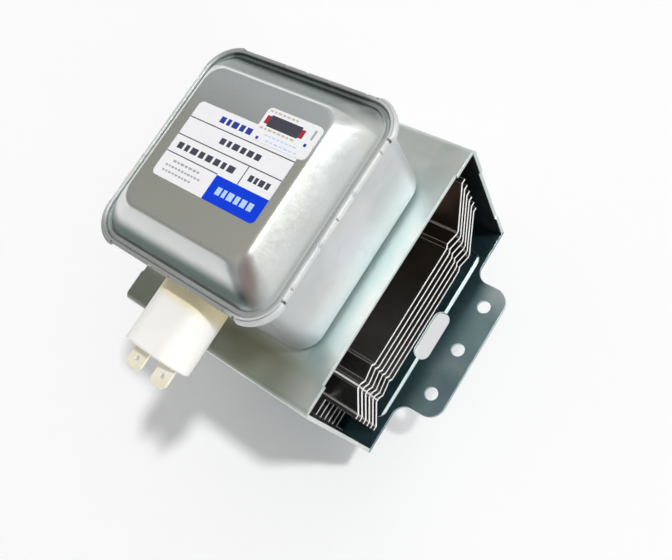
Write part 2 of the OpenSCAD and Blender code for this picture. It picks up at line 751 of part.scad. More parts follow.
// Rod from the upper end hat to the stem
module side_lead() {
    color("darkgray") translate([side_lead_at, 0, hat_high + hat_t + hat_hub])
        cylinder(d = lead_d, h = lead_top - hat_high - hat_t - hat_hub);
}

// Steel cup that closes the tube at the cathode's end
module stem_seal() {
    color("lightgray") {
        ring(anode_d, seal_d - 2 * seal_t, anode_z1 + pole_t, anode_z1 + pole_t + seal_t);
        ring(seal_d, seal_d - 2 * seal_t, anode_z1 + pole_t, yoke_h + stem_seal_h - seal_t);
        ring(seal_d, stem_d - 5, yoke_h + stem_seal_h - seal_t, yoke_h + stem_seal_h);
    }
}

// White ceramic of the stem with the two lead holes
module stem_ceramic() {
    color("white") difference() {
        translate([0, 0, stem_top - stem_h]) cylinder(d = stem_d, h = stem_h);
        for (x = [0, side_lead_at]) translate([x, 0, stem_top - stem_h - over])
            cylinder(d = lead_d + 2 * lead_fit, h = stem_h + 2 * over);
    }
}

// Output end: heights below the mounting face
out_seal_z = -out_seal_drop;
out_ceramic_z = out_seal_z - out_ceramic_l;
out_disc_t = 0.6;
out_cap_z = out_ceramic_z - out_disc_t;
exhaust_d = 4.4;
exhaust_l = 7;
pinch_t = 0.8;
ant_lead_at = vane_bore / 2 + 2.3;

// Steel cup that closes the tube at the antenna's end
module output_seal() {
    color("lightgray") {
        ring(anode_d, seal_d - 2 * seal_t, pad_top + magnet_h, pad_top + magnet_h + seal_t);
        ring(seal_d, seal_d - 2 * seal_t, out_seal_z + seal_t, pad_top + magnet_h + seal_t);
        ring(seal_d, out_ceramic_d - 2 * out_ceramic_wall, out_seal_z, out_seal_z + seal_t);
    }
}

// Ceramic window round the antenna lead
module output_ceramic() {
    color("mistyrose") ring(out_ceramic_d, out_ceramic_d - 2 * out_ceramic_wall, out_ceramic_z, out_seal_z);
}

// Copper lead from a vane to the exhaust tube
module antenna_lead() {
    top = tube_mid - vane_h / 2;
    knee = pad_top + magnet_h - 2;
    low = out_seal_z + 3;
    run = norm([ant_lead_at, knee - low]);
    color("peru") {
        translate([ant_lead_at, 0, knee]) cylinder(d = ant_lead_d, h = top - knee);
        translate([ant_lead_at, 0, knee]) sphere(d = 1.12 * ant_lead_d);
        translate([0, 0, low]) rotate([0, atan2(ant_lead_at, knee - low), 0]) cylinder(d = ant_lead_d, h = run);
        translate([0, 0, low]) sphere(d = 1.12 * ant_lead_d);
        translate([0, 0, out_ceramic_z]) cylinder(d = ant_lead_d, h = low - out_ceramic_z);
    }
}

// Copper disc and pinched-off tube at the end of the output ceramic
module exhaust_tube() {
    color("peru") translate([0, 0, out_cap_z]) {
        cylinder(d = ant_cap_d, h = out_disc_t);
        translate([0, 0, -exhaust_l / 2]) cylinder(d = exhaust_d, h = exhaust_l / 2 + out_disc_t / 2);
        intersection() {
            translate([0, 0, -exhaust_l]) cylinder(d = exhaust_d, h = 0.6 * exhaust_l);
            across(2 * exhaust_d) polygon([
                [-exhaust_d / 2, -exhaust_l / 2], [-pinch_t / 2, -exhaust_l],
                [pinch_t / 2, -exhaust_l], [exhaust_d / 2, -exhaust_l / 2]]);
        }
    }
}

// Steel cap over the antenna's end, with a rounded bottom
module antenna_cap() {
    r = ant_cap_d / 2 - ant_cap_t / 2;
    edge = 2.5;
    path = concat([[r, 0]], [for (p = backwards(arc([r - edge, -ant_cap_l + edge + ant_cap_t / 2], edge, -90, 0))) p],
        [[0, -ant_cap_l + ant_cap_t / 2]]);
    color("silver") translate([0, 0, out_cap_z]) rotate_extrude() polygon(sheet(path, ant_cap_t));
}

// Woven wire ring that seals the antenna's hole in the oven
module mesh_gasket() {
    color("darkkhaki") translate([0, 0, pad_rise]) rotate_extrude() translate([(gasket_d + gasket_bore) / 4, -gasket_h / 2])
        round_rect((gasket_d - gasket_bore) / 2, gasket_h, gasket_h * 0.3);
}

// Steel ring that keeps the gasket centred
module gasket_ring() {
    color("silver") {
        ring(gasket_bore - 0.4, gasket_bore - 1.6, pad_rise - gasket_h * 0.6, pad_rise);
        ring(gasket_bore - 0.4, tube_hole_d + 0.4, pad_rise - 0.5, pad_rise);
    }
}

yoke_frame();
mounting_plate();
cooling_fin(1);  // cooling_fin_1
cooling_fin(2);  // cooling_fin_2
cooling_fin(3);  // cooling_fin_3
cooling_fin(4);  // cooling_fin_4
cooling_fin(5);  // cooling_fin_5
cooling_fin(6);  // cooling_fin_6
filter_can();
filter_lid();
can_rivets();
connector_housing();
capacitor_flange();
capacitor_screws();
capacitor_case();
terminal_tab(-1);  // terminal_tab_left
terminal_tab(1);  // terminal_tab_right
choke_coil(-1);  // choke_coil_left
choke_coil(1);  // choke_coil_right
choke_core(-1);  // choke_core_left
choke_core(1);  // choke_core_right
magnet_upper();
magnet_lower();
anode_cylinder();
anode_vanes();
strap_rings();
pole_piece_upper();
pole_piece_lower();
filament();
end_hat_upper();
end_hat_lower();
centre_lead();
side_lead();
stem_seal();
stem_ceramic();
output_seal();
output_ceramic();
antenna_lead();
exhaust_tube();
antenna_cap();
mesh_gasket();
gasket_ring();
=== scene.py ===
import math

import bmesh
import bpy
from bpy.props import FloatProperty, FloatVectorProperty, PointerProperty
from bpy.types import Operator, Panel, PropertyGroup
from mathutils import Matrix, Vector


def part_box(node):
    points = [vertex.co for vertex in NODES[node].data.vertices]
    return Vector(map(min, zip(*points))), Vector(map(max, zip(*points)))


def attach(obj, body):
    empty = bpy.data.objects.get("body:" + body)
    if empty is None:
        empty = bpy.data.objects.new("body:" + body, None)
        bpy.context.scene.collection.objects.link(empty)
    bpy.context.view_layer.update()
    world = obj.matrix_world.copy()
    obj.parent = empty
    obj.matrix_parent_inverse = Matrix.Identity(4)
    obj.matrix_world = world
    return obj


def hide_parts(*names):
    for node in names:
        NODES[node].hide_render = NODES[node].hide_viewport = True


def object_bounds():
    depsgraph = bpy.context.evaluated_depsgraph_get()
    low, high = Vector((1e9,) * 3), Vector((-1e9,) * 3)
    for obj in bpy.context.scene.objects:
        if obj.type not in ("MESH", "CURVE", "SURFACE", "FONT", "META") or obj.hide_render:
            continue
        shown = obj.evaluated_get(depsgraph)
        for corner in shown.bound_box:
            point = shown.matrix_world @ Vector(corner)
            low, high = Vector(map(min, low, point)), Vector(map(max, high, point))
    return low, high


bl_info = {
    "name": "Microwave oven magnetron",
    "version": (1, 0, 0),
    "blender": (4, 5, 0),
    "location": "View3D > Sidebar > Magnetron",
    "description": "Finishes and fine pieces of a microwave oven magnetron, laid over its solids",
    "category": "Object",
}

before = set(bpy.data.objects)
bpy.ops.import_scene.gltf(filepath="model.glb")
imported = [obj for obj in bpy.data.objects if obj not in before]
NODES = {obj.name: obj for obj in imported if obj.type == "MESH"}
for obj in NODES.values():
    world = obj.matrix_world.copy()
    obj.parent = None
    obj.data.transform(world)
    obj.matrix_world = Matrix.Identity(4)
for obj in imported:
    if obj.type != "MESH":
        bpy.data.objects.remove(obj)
CAD_BOX = [list(corner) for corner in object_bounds()]
MM = 0.001

CAN_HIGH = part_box("filter_can")[1]
LID_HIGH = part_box("filter_lid")[1]
GASKET_LOW, GASKET_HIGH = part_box("mesh_gasket")
GASKET_BORE = 13.0 * MM
GASKET_WIRE = 0.24 * MM

# Rolled rim: its corners, its depth and height, and the nicks along each straight side
RIM_CORNER = 10.5 * MM
RIM_SIDE = CAN_HIGH.x - RIM_CORNER
RIM_DEPTH = 2.3 * MM
RIM_HEIGHT = 1.8 * MM
CORNER_LIP = 0.7 * MM
LIP_START, LIP_RISE = 3.0, 6.0
NICKS = 5
NICK_SWAY = 0.22
NICK_WAVE = 260.0
NICK_WIDTH = 0.04
NICK_DEPTHS = (0.55, 0.22, 0.34, 0.6, 0.18, 0.42, 0.5)

# Tones of worn edges and marks
BARE_ZINC = (0.86, 0.87, 0.86)
SHEARED_ALUMINIUM = (0.95, 0.94, 0.93)
CHIPPED_FERRITE = (0.16, 0.155, 0.15)
CERAMIC_SPECK = (0.45, 0.40, 0.38)

# Creases across the fins that are rubbed bright: place in millimetres, and share
FIN_CREASES = ((-38.4, 0.8), (-30.8, 1.0), (28.6, 0.25))

# Printed tones of the label: finish, colour, gain of its shade, and roughness
PRINTS = (
    ("label film", "paper", 0.94, 0.40),
    ("label ink", "ink", 1.6, 0.36),
    ("label blue", "blue", 1.15, 0.42),
    ("label navy", "navy", 1.4, 0.36),
    ("label grey", "grey", 1.1, 0.40),
    ("label sky", "sky", 0.9, 0.40),
    ("label red", "red", 0.9, 0.40),
    ("label tan", "tan", 0.9, 0.40),
)
INK, BLUE, NAVY, GREY, SKY, RED, TAN = range(1, 8)

# Rows of plain blocks: left, right, front and back in millimetres, how many, and their tone
LABEL_ROWS = (
    (-9.0, 3.0, 8.2, 10.2, 5, NAVY),
    (-4.6, 10.6, 2.6, 4.5, 6, INK),
    (-16.8, 5.6, -3.5, -1.5, 8, INK),
    (11.0, 18.4, -3.4, -1.5, 4, INK),
    (-14.6, -4.2, -7.7, -7.0, 7, GREY),
    (-16.4, -2.6, -9.4, -8.8, 11, GREY),
    (-16.4, -5.0, -11.1, -10.5, 9, GREY),
    (4.2, 17.6, -10.5, -8.2, 6, SKY),
)
STICKER_ROWS = (
    (-8.8, 1.2, 3.9, 4.5, 7, TAN),
    (-8.8, 3.4, -1.5, -0.9, 8, TAN),
    (-5.8, 5.4, -3.0, -2.6, 8, SKY),
    (-4.6, 6.4, -4.5, -4.1, 7, SKY),
)
STICKER_FIELDS = [
    (-7.2, 3.8, -0.4, 3.2, INK),
    (-8.6, -7.2, 0.2, 2.8, RED),
    (3.8, 5.2, 0.0, 2.6, RED),
    (-8.0, -7.1, -4.8, -3.9, NAVY),
    (6.8, 7.7, -1.6, -0.7, NAVY),
    (7.6, 8.3, 0.8, 3.8, GREY),
]
BLOCK_WIDTHS = (1.0, 0.72, 1.18, 0.9, 1.06)
FILM_GAP = 0.012 * MM

# Stage: the floor's flat and bend, the light's directions, and the camera fitted to the photograph
FLOOR_FLAT = 1.6
FLOOR_BEND = 1.2
KEY_WAY = Vector((-0.465, -0.28, -0.84))
BRIGHT_WAY = (0.87, 0.49, 0.0)
CAMERA_PLACE = Vector((0.13155, -0.03932, 0.247015))
CAMERA_RIGHT = Vector((0.7687865, 0.5362403, -0.3484446))
CAMERA_DOWN = Vector((0.4115012, -0.8318887, -0.3723278))
CAMERA_AHEAD = Vector((-0.4895243, 0.1428552, -0.8602083))


# Shader sums

class Wire:
    """A shader socket that takes part in Python sums, each of which adds a Math node."""

    def __init__(self, tree, socket=None):
        self.tree = tree
        self.socket = socket

    def node(self, kind, settings=None, sockets=None, out=0):
        """Adds one node: its settings first, then the values or links of its sockets."""
        made = self.tree.nodes.new(kind)
        for key, value in (settings or {}).items():
            setattr(made, key, value)
        for key, value in (sockets or {}).items():
            if isinstance(value, Wire):
                self.tree.links.new(value.socket, made.inputs[key])
            else:
                made.inputs[key].default_value = value
        return Wire(self.tree, made.outputs[out])

    def math(self, operation, *values, clamp=False):
        settings = {"operation": operation, "use_clamp": clamp}
        return self.node("ShaderNodeMath", settings, dict(enumerate(values)))

    def __add__(self, other):
        return self.math("ADD", self, other)

    def __sub__(self, other):
        return self.math("SUBTRACT", self, other)

    def __rsub__(self, other):
        return self.math("SUBTRACT", other, self)

    def __mul__(self, other):
        return self.math("MULTIPLY", self, other)

    def __truediv__(self, other):
        return self.math("DIVIDE", self, other)

    def __pow__(self, other):
        return self.math("POWER", self, other)

    def __abs__(self):
        return self.math("ABSOLUTE", self)

    def held(self):
        """The value kept between 0 and 1."""
        return self.math("ADD", self, 0.0, clamp=True)

    def about(self, mean, swing):
        """A mean that this noise swings up and down."""
        return (self - 0.5) * swing + mean

    def step(self, low, high):
        """0 below low, 1 above high, and a smooth rise between them."""
        return self.node(
            "ShaderNodeMapRange", {"interpolation_type": "SMOOTHSTEP"},
            {"Value": self, "From Min": low, "From Max": high}, "Result")

    def line(self, inner, outer):
        """1 where the value is within inner of 0, and 0 where it is beyond outer."""
        return 1.0 - (self * self).step(inner ** 2, outer ** 2)

    def noise(self, where, scale, detail=3.0, rough=0.55, twist=0.0):
        sockets = {"Vector": where, "Scale": scale, "Detail": detail, "Roughness": rough, "Distortion": twist}
        return self.node("ShaderNodeTexNoise", {"noise_dimensions": "3D"}, sockets, "Fac")

    def pits(self, where, scale):
        """Distance from the middles of small cells."""
        sockets = {"Vector": where, "Scale": scale}
        return self.node("ShaderNodeTexVoronoi", {"feature": "F1"}, sockets, "Distance")

    def stretched(self, where, scale):
        return self.node("ShaderNodeVectorMath", {"operation": "MULTIPLY"}, {0: where, 1: scale}, "Vector")

    def dot(self, first, second):
        sockets = {0: first, 1: second}
        return self.node("ShaderNodeVectorMath", {"operation": "DOT_PRODUCT"}, sockets, "Value")

    def part(self, vector, name):
        """One part of a vector."""
        return self.node("ShaderNodeSeparateXYZ", None, {"Vector": vector}, name)

    def blend(self, share, first, second):
        """A colour between first and second."""
        made = self.node("ShaderNodeMix", {"data_type": "RGBA"}, {0: share}, 2).socket.node
        for index, value in ((6, first), (7, second)):
            if isinstance(value, Wire):
                self.tree.links.new(value.socket, made.inputs[index])
            else:
                made.inputs[index].default_value = (*value, 1.0)
        return Wire(self.tree, made.outputs[2])


class Finish:
    """A material with one Principled shader, and what most finishes share."""

    def __init__(self, name):
        self.material = bpy.data.materials.new(name)
        self.material.use_nodes = True
        tree = self.material.node_tree
        tree.nodes.clear()
        self.wire = Wire(tree)
        self.shader = tree.nodes.new("ShaderNodeBsdfPrincipled")
        self.output = tree.nodes.new("ShaderNodeOutputMaterial")
        tree.links.new(self.shader.outputs["BSDF"], self.output.inputs["Surface"])
        self.where = self.wire.node("ShaderNodeTexCoord", out="Object")

    def set(self, **sockets):
        """Links or sets sockets of the shader, named with underscores for spaces."""
        for key, value in sockets.items():
            socket = self.shader.inputs[key.replace("_", " ")]
            if isinstance(value, Wire):
                self.wire.tree.links.new(value.socket, socket)
            elif isinstance(value, float):
                socket.default_value = value
            else:
                socket.default_value = (*value, 1.0)

    def glow(self, share):
        """Gives the surface a share of plain white of its own."""
        tree = self.wire.tree
        white = self.wire.node("ShaderNodeEmission", None, {"Strength": 1.0}, "Emission")
        lit = Wire(tree, self.shader.outputs["BSDF"])
        mixed = self.wire.node("ShaderNodeMixShader", None, {0: share, 1: lit, 2: white}, "Shader")
        tree.links.new(mixed.socket, self.output.inputs["Surface"])

    def rounded(self, radius, samples=4, gain=5.0):
        """A normal that turns softly round the edges, and a mask of those edges."""
        soft = self.wire.node("ShaderNodeBevel", {"samples": samples}, {"Radius": radius}, "Normal")
        along = self.wire.dot(soft, self.wire.node("ShaderNodeNewGeometry", out="Normal"))
        return soft, ((1.0 - along) * gain).held()

    def axis(self, name):
        """One coordinate of the surface point, in the part's frame."""
        return self.wire.part(self.where, name)

    def past(self, name, low, high):
        """0 below low on an axis of the part, 1 beyond high, and a smooth rise between, in millimetres."""
        return self.axis(name).step(low * MM, high * MM)

    def facing(self, name):
        """One part of the surface's normal."""
        return self.wire.part(self.wire.node("ShaderNodeNewGeometry", out="Normal"), name)

    def bump(self, height, strength, distance, normal=None):
        sockets = {"Height": height, "Strength": strength, "Distance": distance}
        if normal is not None:
            sockets["Normal"] = normal
        return self.wire.node("ShaderNodeBump", None, sockets, "Normal")

    def scratches(self, turn):
        """Sparse fine lines that run across the surface at an angle, in radians."""
        turned = self.wire.node(
            "ShaderNodeVectorRotate", {"rotation_type": "EULER_XYZ"},
            {"Vector": self.where, "Rotation": (turn, turn * 0.6, turn)}, "Vector")
        lines = self.wire.noise(self.wire.stretched(turned, (60.0, 4200.0, 4200.0)), 1.0, 1.0, 0.5, 0.3)
        patches = self.wire.noise(self.where, 70.0, 2.0)
        return lines.step(0.66, 0.72) * patches.step(0.48, 0.62)


def plated_steel(
        name, light, dark, warm, rough, edge_radius, turn, grain=(1.0, 14.0, 1.0), worn=0.5, bumped=1.0,
        tints=(), dull=None):
    """Zinc-plated sheet: cloudy tint, fine mottling, rolling lines, handling scratches and bare edges."""
    f = Finish(name)
    w = f.wire
    soft, edge = f.rounded(edge_radius)
    cloud = w.noise(f.where, 34.0, 3.0, 0.6, 0.4)
    mottle = w.noise(f.where, 520.0, 4.0, 0.65)
    fine = w.noise(f.where, 4200.0, 2.0, 0.5)
    rolled = w.noise(w.stretched(f.where, tuple(150.0 * g for g in grain)), 1.0, 3.0, 0.6)
    scratch = f.scratches(turn)
    colour = w.blend(cloud.step(0.36, 0.66), dark, light)
    colour = w.blend(w.noise(f.where, 61.0, 2.0).step(0.45, 0.75) * 0.4, colour, warm)
    colour = w.blend((mottle - 0.5).held() * 0.8, colour, dark)
    for share, tone in tints:
        colour = w.blend(share(f, cloud).held(), colour, tone)
    colour = w.blend(edge * worn, colour, BARE_ZINC)
    oxide = dull(f, cloud).held() if dull else 0.0
    uneven = cloud.about(rough, 0.14) + mottle.about(0.0, 0.16)
    f.set(
        Base_Color=colour,
        Metallic=1.0 - oxide * 0.9,
        Roughness=(uneven + scratch * 0.12 - edge * 0.06 + oxide * 0.3).held(),
        Normal=f.bump(
            mottle * 0.5 + fine * 0.12 + rolled * 0.5 - scratch * 0.5, 0.22 * bumped, 0.12 * MM, soft),
    )
    return f.material


def rolled_aluminium(name, light, dark, bay_shade, rough, edge_radius):
    """Mill-finished fin stock: rolling lines, dull marks, bright sheared edges and rubbed creases."""
    f = Finish(name)
    w = f.wire
    soft, edge = f.rounded(edge_radius, 6, 14.0)
    lines = w.noise(w.stretched(f.where, (1900.0, 12.0, 1900.0)), 1.0, 2.0, 0.6)
    cloud = w.noise(f.where, 48.0, 3.0)
    marks = w.noise(f.where, 310.0, 3.0, 0.6)
    colour = w.blend(cloud.step(0.3, 0.7), dark, light)
    # A dark brown painted shade on the fins deep in the bay, from the middle toward the back.
    colour = w.blend((f.past("Y", -22.0, 14.0) * cloud.about(0.85, 0.5)).held(), colour, bay_shade)
    sideways = f.facing("X")
    bright = edge * 0.9 + (sideways * sideways).step(0.8, 0.95)
    for place, share in FIN_CREASES:
        bright = bright + (f.axis("Y") - place * MM).line(0.15 * MM, 0.45 * MM) * share
    bright = bright.held()
    f.set(
        Base_Color=w.blend(bright, colour, SHEARED_ALUMINIUM),
        Metallic=1.0 - bright * 0.8,
        Roughness=(lines.about(rough, 0.10) + marks.about(0.0, 0.06) + bright * 0.15).held(),
        Normal=f.bump(lines * 0.5 + marks * 0.5, 0.03, 0.04 * MM, soft),
    )
    return f.material


def plain_metal(name, light, dark, rough, edge_radius, scale=300.0, metal=1.0):
    """Turned or pressed metal: a mottled tone, a light tarnish and edges rubbed bright."""
    f = Finish(name)
    w = f.wire
    soft, edge = f.rounded(edge_radius)
    tarnish = w.noise(f.where, scale * 0.3, 4.0, 0.6, 0.6)
    grain = w.noise(f.where, scale * 5.0, 3.0, 0.6)
    colour = w.blend(tarnish.step(0.34, 0.66), dark, light)
    bright = tuple(min(1.0, 0.35 + 0.7 * c) for c in light)
    f.set(
        Base_Color=w.blend(edge * 0.6, colour, bright),
        Metallic=metal,
        Roughness=(tarnish.about(rough, -0.2) + grain.about(0.0, 0.12)).held(),
        Normal=f.bump(grain, 0.18, 0.06 * MM, soft),
    )
    return f.material


def pressed_ferrite(name, light, dark):
    """Sintered ferrite: charcoal, ground faces, pores and small chips along the edges."""
    f = Finish(name)
    w = f.wire
    soft, edge = f.rounded(0.6 * MM)
    pores = w.pits(f.where, 1600.0)
    cloud = w.noise(f.where, 90.0, 4.0, 0.6)
    ground = w.noise(w.stretched(f.where, (900.0, 60.0, 900.0)), 1.0, 2.0)
    chips = edge * w.noise(f.where, 420.0, 3.0).step(0.5, 0.6)
    colour = w.blend(cloud.step(0.3, 0.7), dark, light)
    f.set(
        Base_Color=w.blend(chips * 0.7, colour, CHIPPED_FERRITE),
        Roughness=(cloud.about(0.52, 0.2) + chips * 0.2).held(),
        Normal=f.bump(pores.step(0.0, 0.25) * 0.5 + ground * 0.4 - chips, 0.35, 0.1 * MM, soft),
    )
    return f.material


def moulded_plastic(name, light, dark, rough, tints=()):
    """Moulded plastic: an even body with faint flow marks, a fine spark grain and softened edges."""
    f = Finish(name)
    w = f.wire
    soft, edge = f.rounded(0.5 * MM)
    flow = w.noise(w.stretched(f.where, (90.0, 30.0, 90.0)), 1.0, 3.0, 0.5, 0.8)
    spark = w.noise(f.where, 5200.0, 2.0)
    smudge = w.noise(f.where, 120.0, 3.0, 0.6)
    colour = w.blend(flow.step(0.3, 0.75) * 0.6 + smudge.step(0.55, 0.8) * 0.3, light, dark)
    for share, tone in tints:
        colour = w.blend(share(f, smudge).held(), colour, tone)
    f.set(
        Base_Color=colour,
        Roughness=(smudge.about(rough, 0.16) + spark.about(0.0, 0.08) - edge * 0.05).held(),
        Normal=f.bump(spark * 0.4 + flow * 0.6, 0.15, 0.08 * MM, soft),
    )
    return f.material


def fired_ceramic(name, light, dark):
    """Fired alumina: matt, faintly speckled, with fine turning marks."""
    f = Finish(name)
    w = f.wire
    soft = f.rounded(0.3 * MM)[0]
    cloud = w.noise(f.where, 160.0, 4.0, 0.6)
    specks = w.pits(f.where, 2400.0)
    turned = w.noise(w.stretched(f.where, (40.0, 40.0, 5200.0)), 1.0, 2.0)
    colour = w.blend(cloud.step(0.35, 0.7), light, dark)
    f.set(
        Base_Color=w.blend((1.0 - specks.step(0.05, 0.16)) * 0.25, colour, CERAMIC_SPECK),
        Roughness=cloud.about(0.62, 0.2).held(),
        Normal=f.bump(turned * 0.6 + cloud * 0.4, 0.2, 0.06 * MM, soft),
    )
    return f.material


def printed_film(name, colour, shade, rough):
    """Label film: an even printed tone with faint fibres, ink grain and a satin varnish."""
    f = Finish(name)
    w = f.wire
    fibre = w.noise(w.stretched(f.where, (1500.0, 380.0, 900.0)), 1.0, 3.0, 0.6)
    ink = w.noise(f.where, 2600.0, 2.0)
    wave = w.noise(f.where, 130.0, 2.0)
    f.set(
        Base_Color=w.blend(fibre.step(0.4, 0.75) * 0.35 + (ink - 0.5).held() * 0.4, colour, shade),
        Roughness=fibre.about(rough, 0.14).held(),
        Specular_IOR_Level=0.2,
        Normal=f.bump(wave * 0.8 + fibre * 0.1, 0.12, 0.2 * MM),
    )
    return f.material


# Mesh work

def ride(name, mesh, finishes):
    """Puts a mesh into the scene with its finishes, riding on the body."""
    made = bpy.data.objects.new(name, mesh)
    bpy.context.scene.collection.objects.link(made)
    for finish in finishes:
        mesh.materials.append(finish)
    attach(made, "root")
    return made


def piece(name, points, faces, finish):
    """A smooth mesh in the part's frame, with one finish."""
    mesh = bpy.data.meshes.new(name)
    mesh.from_pydata([tuple(p) for p in points], [], faces)
    mesh.validate()
    work = bmesh.new()
    work.from_mesh(mesh)
    bmesh.ops.recalc_face_normals(work, faces=work.faces)
    for face in work.faces:
        face.smooth = True
    work.to_mesh(mesh)
    work.free()
    return ride(name, mesh, [finish])


def square_ring(half, corner, z, arc_steps, side_steps):
    """Points round a square with rounded corners, at one height."""
    at = half - corner
    centres = [(at, at), (-at, at), (-at, -at), (at, -at)]
    points = []
    for k, (cx, cy) in enumerate(centres):
        for j in range(arc_steps + 1):
            a = math.radians(90.0 * (k + j / arc_steps))
            points.append(Vector((cx + corner * math.cos(a), cy + corner * math.sin(a), z)))
        nx, ny = centres[(k + 1) % 4]
        a = math.radians(90.0 * (k + 1))
        start = points[-1]
        end = Vector((nx + corner * math.cos(a), ny + corner * math.sin(a), z))
        for j in range(1, side_steps):
            points.append(start.lerp(end, j / side_steps))
    return points


def ring_faces(rows, columns, closed=False):
    """Quads between rings of points, and between the last and the first if the section is closed."""
    faces = []
    for i in range(rows if closed else rows - 1):
        n = (i + 1) % rows
        for j in range(columns):
            m = (j + 1) % columns
            faces.append((i * columns + j, i * columns + m, n * columns + m, n * columns + j))
    return faces


def turn(centre, radius, start, end, steps):
    """Points on an arc in a section, with angles in degrees."""
    angles = [math.radians(start + (end - start) * k / steps) for k in range(steps + 1)]
    return [(centre[0] + radius * math.cos(a), centre[1] + radius * math.sin(a)) for a in angles]


def curve(p0, p1, p2, p3, steps):
    """Points on a cubic curve between p0 and p3, without p0."""
    made = []
    for k in range(1, steps + 1):
        t = k / steps
        u = 1.0 - t
        made.append(tuple(
            u * u * u * a + 3 * u * u * t * b + 3 * u * t * t * c + t * t * t * d
            for a, b, c, d in zip(p0, p1, p2, p3)))
    return made


def held(value):
    """A number kept between 0 and 1."""
    return min(1.0, max(0.0, value))


# Sizes and colours

def size(name, description, default):
    return FloatProperty(
        name=name, description=description, default=default, unit="LENGTH", subtype="DISTANCE", precision=5)


def angle(name, description, default):
    return FloatProperty(name=name, description=description, default=math.radians(default), subtype="ANGLE")


def level(name, description, default):
    return FloatProperty(name=name, description=description, default=default, min=0.0)


def colour(name, description, default):
    return FloatVectorProperty(
        name=name, description=description, default=default, size=3, min=0.0, max=1.0, subtype="COLOR")


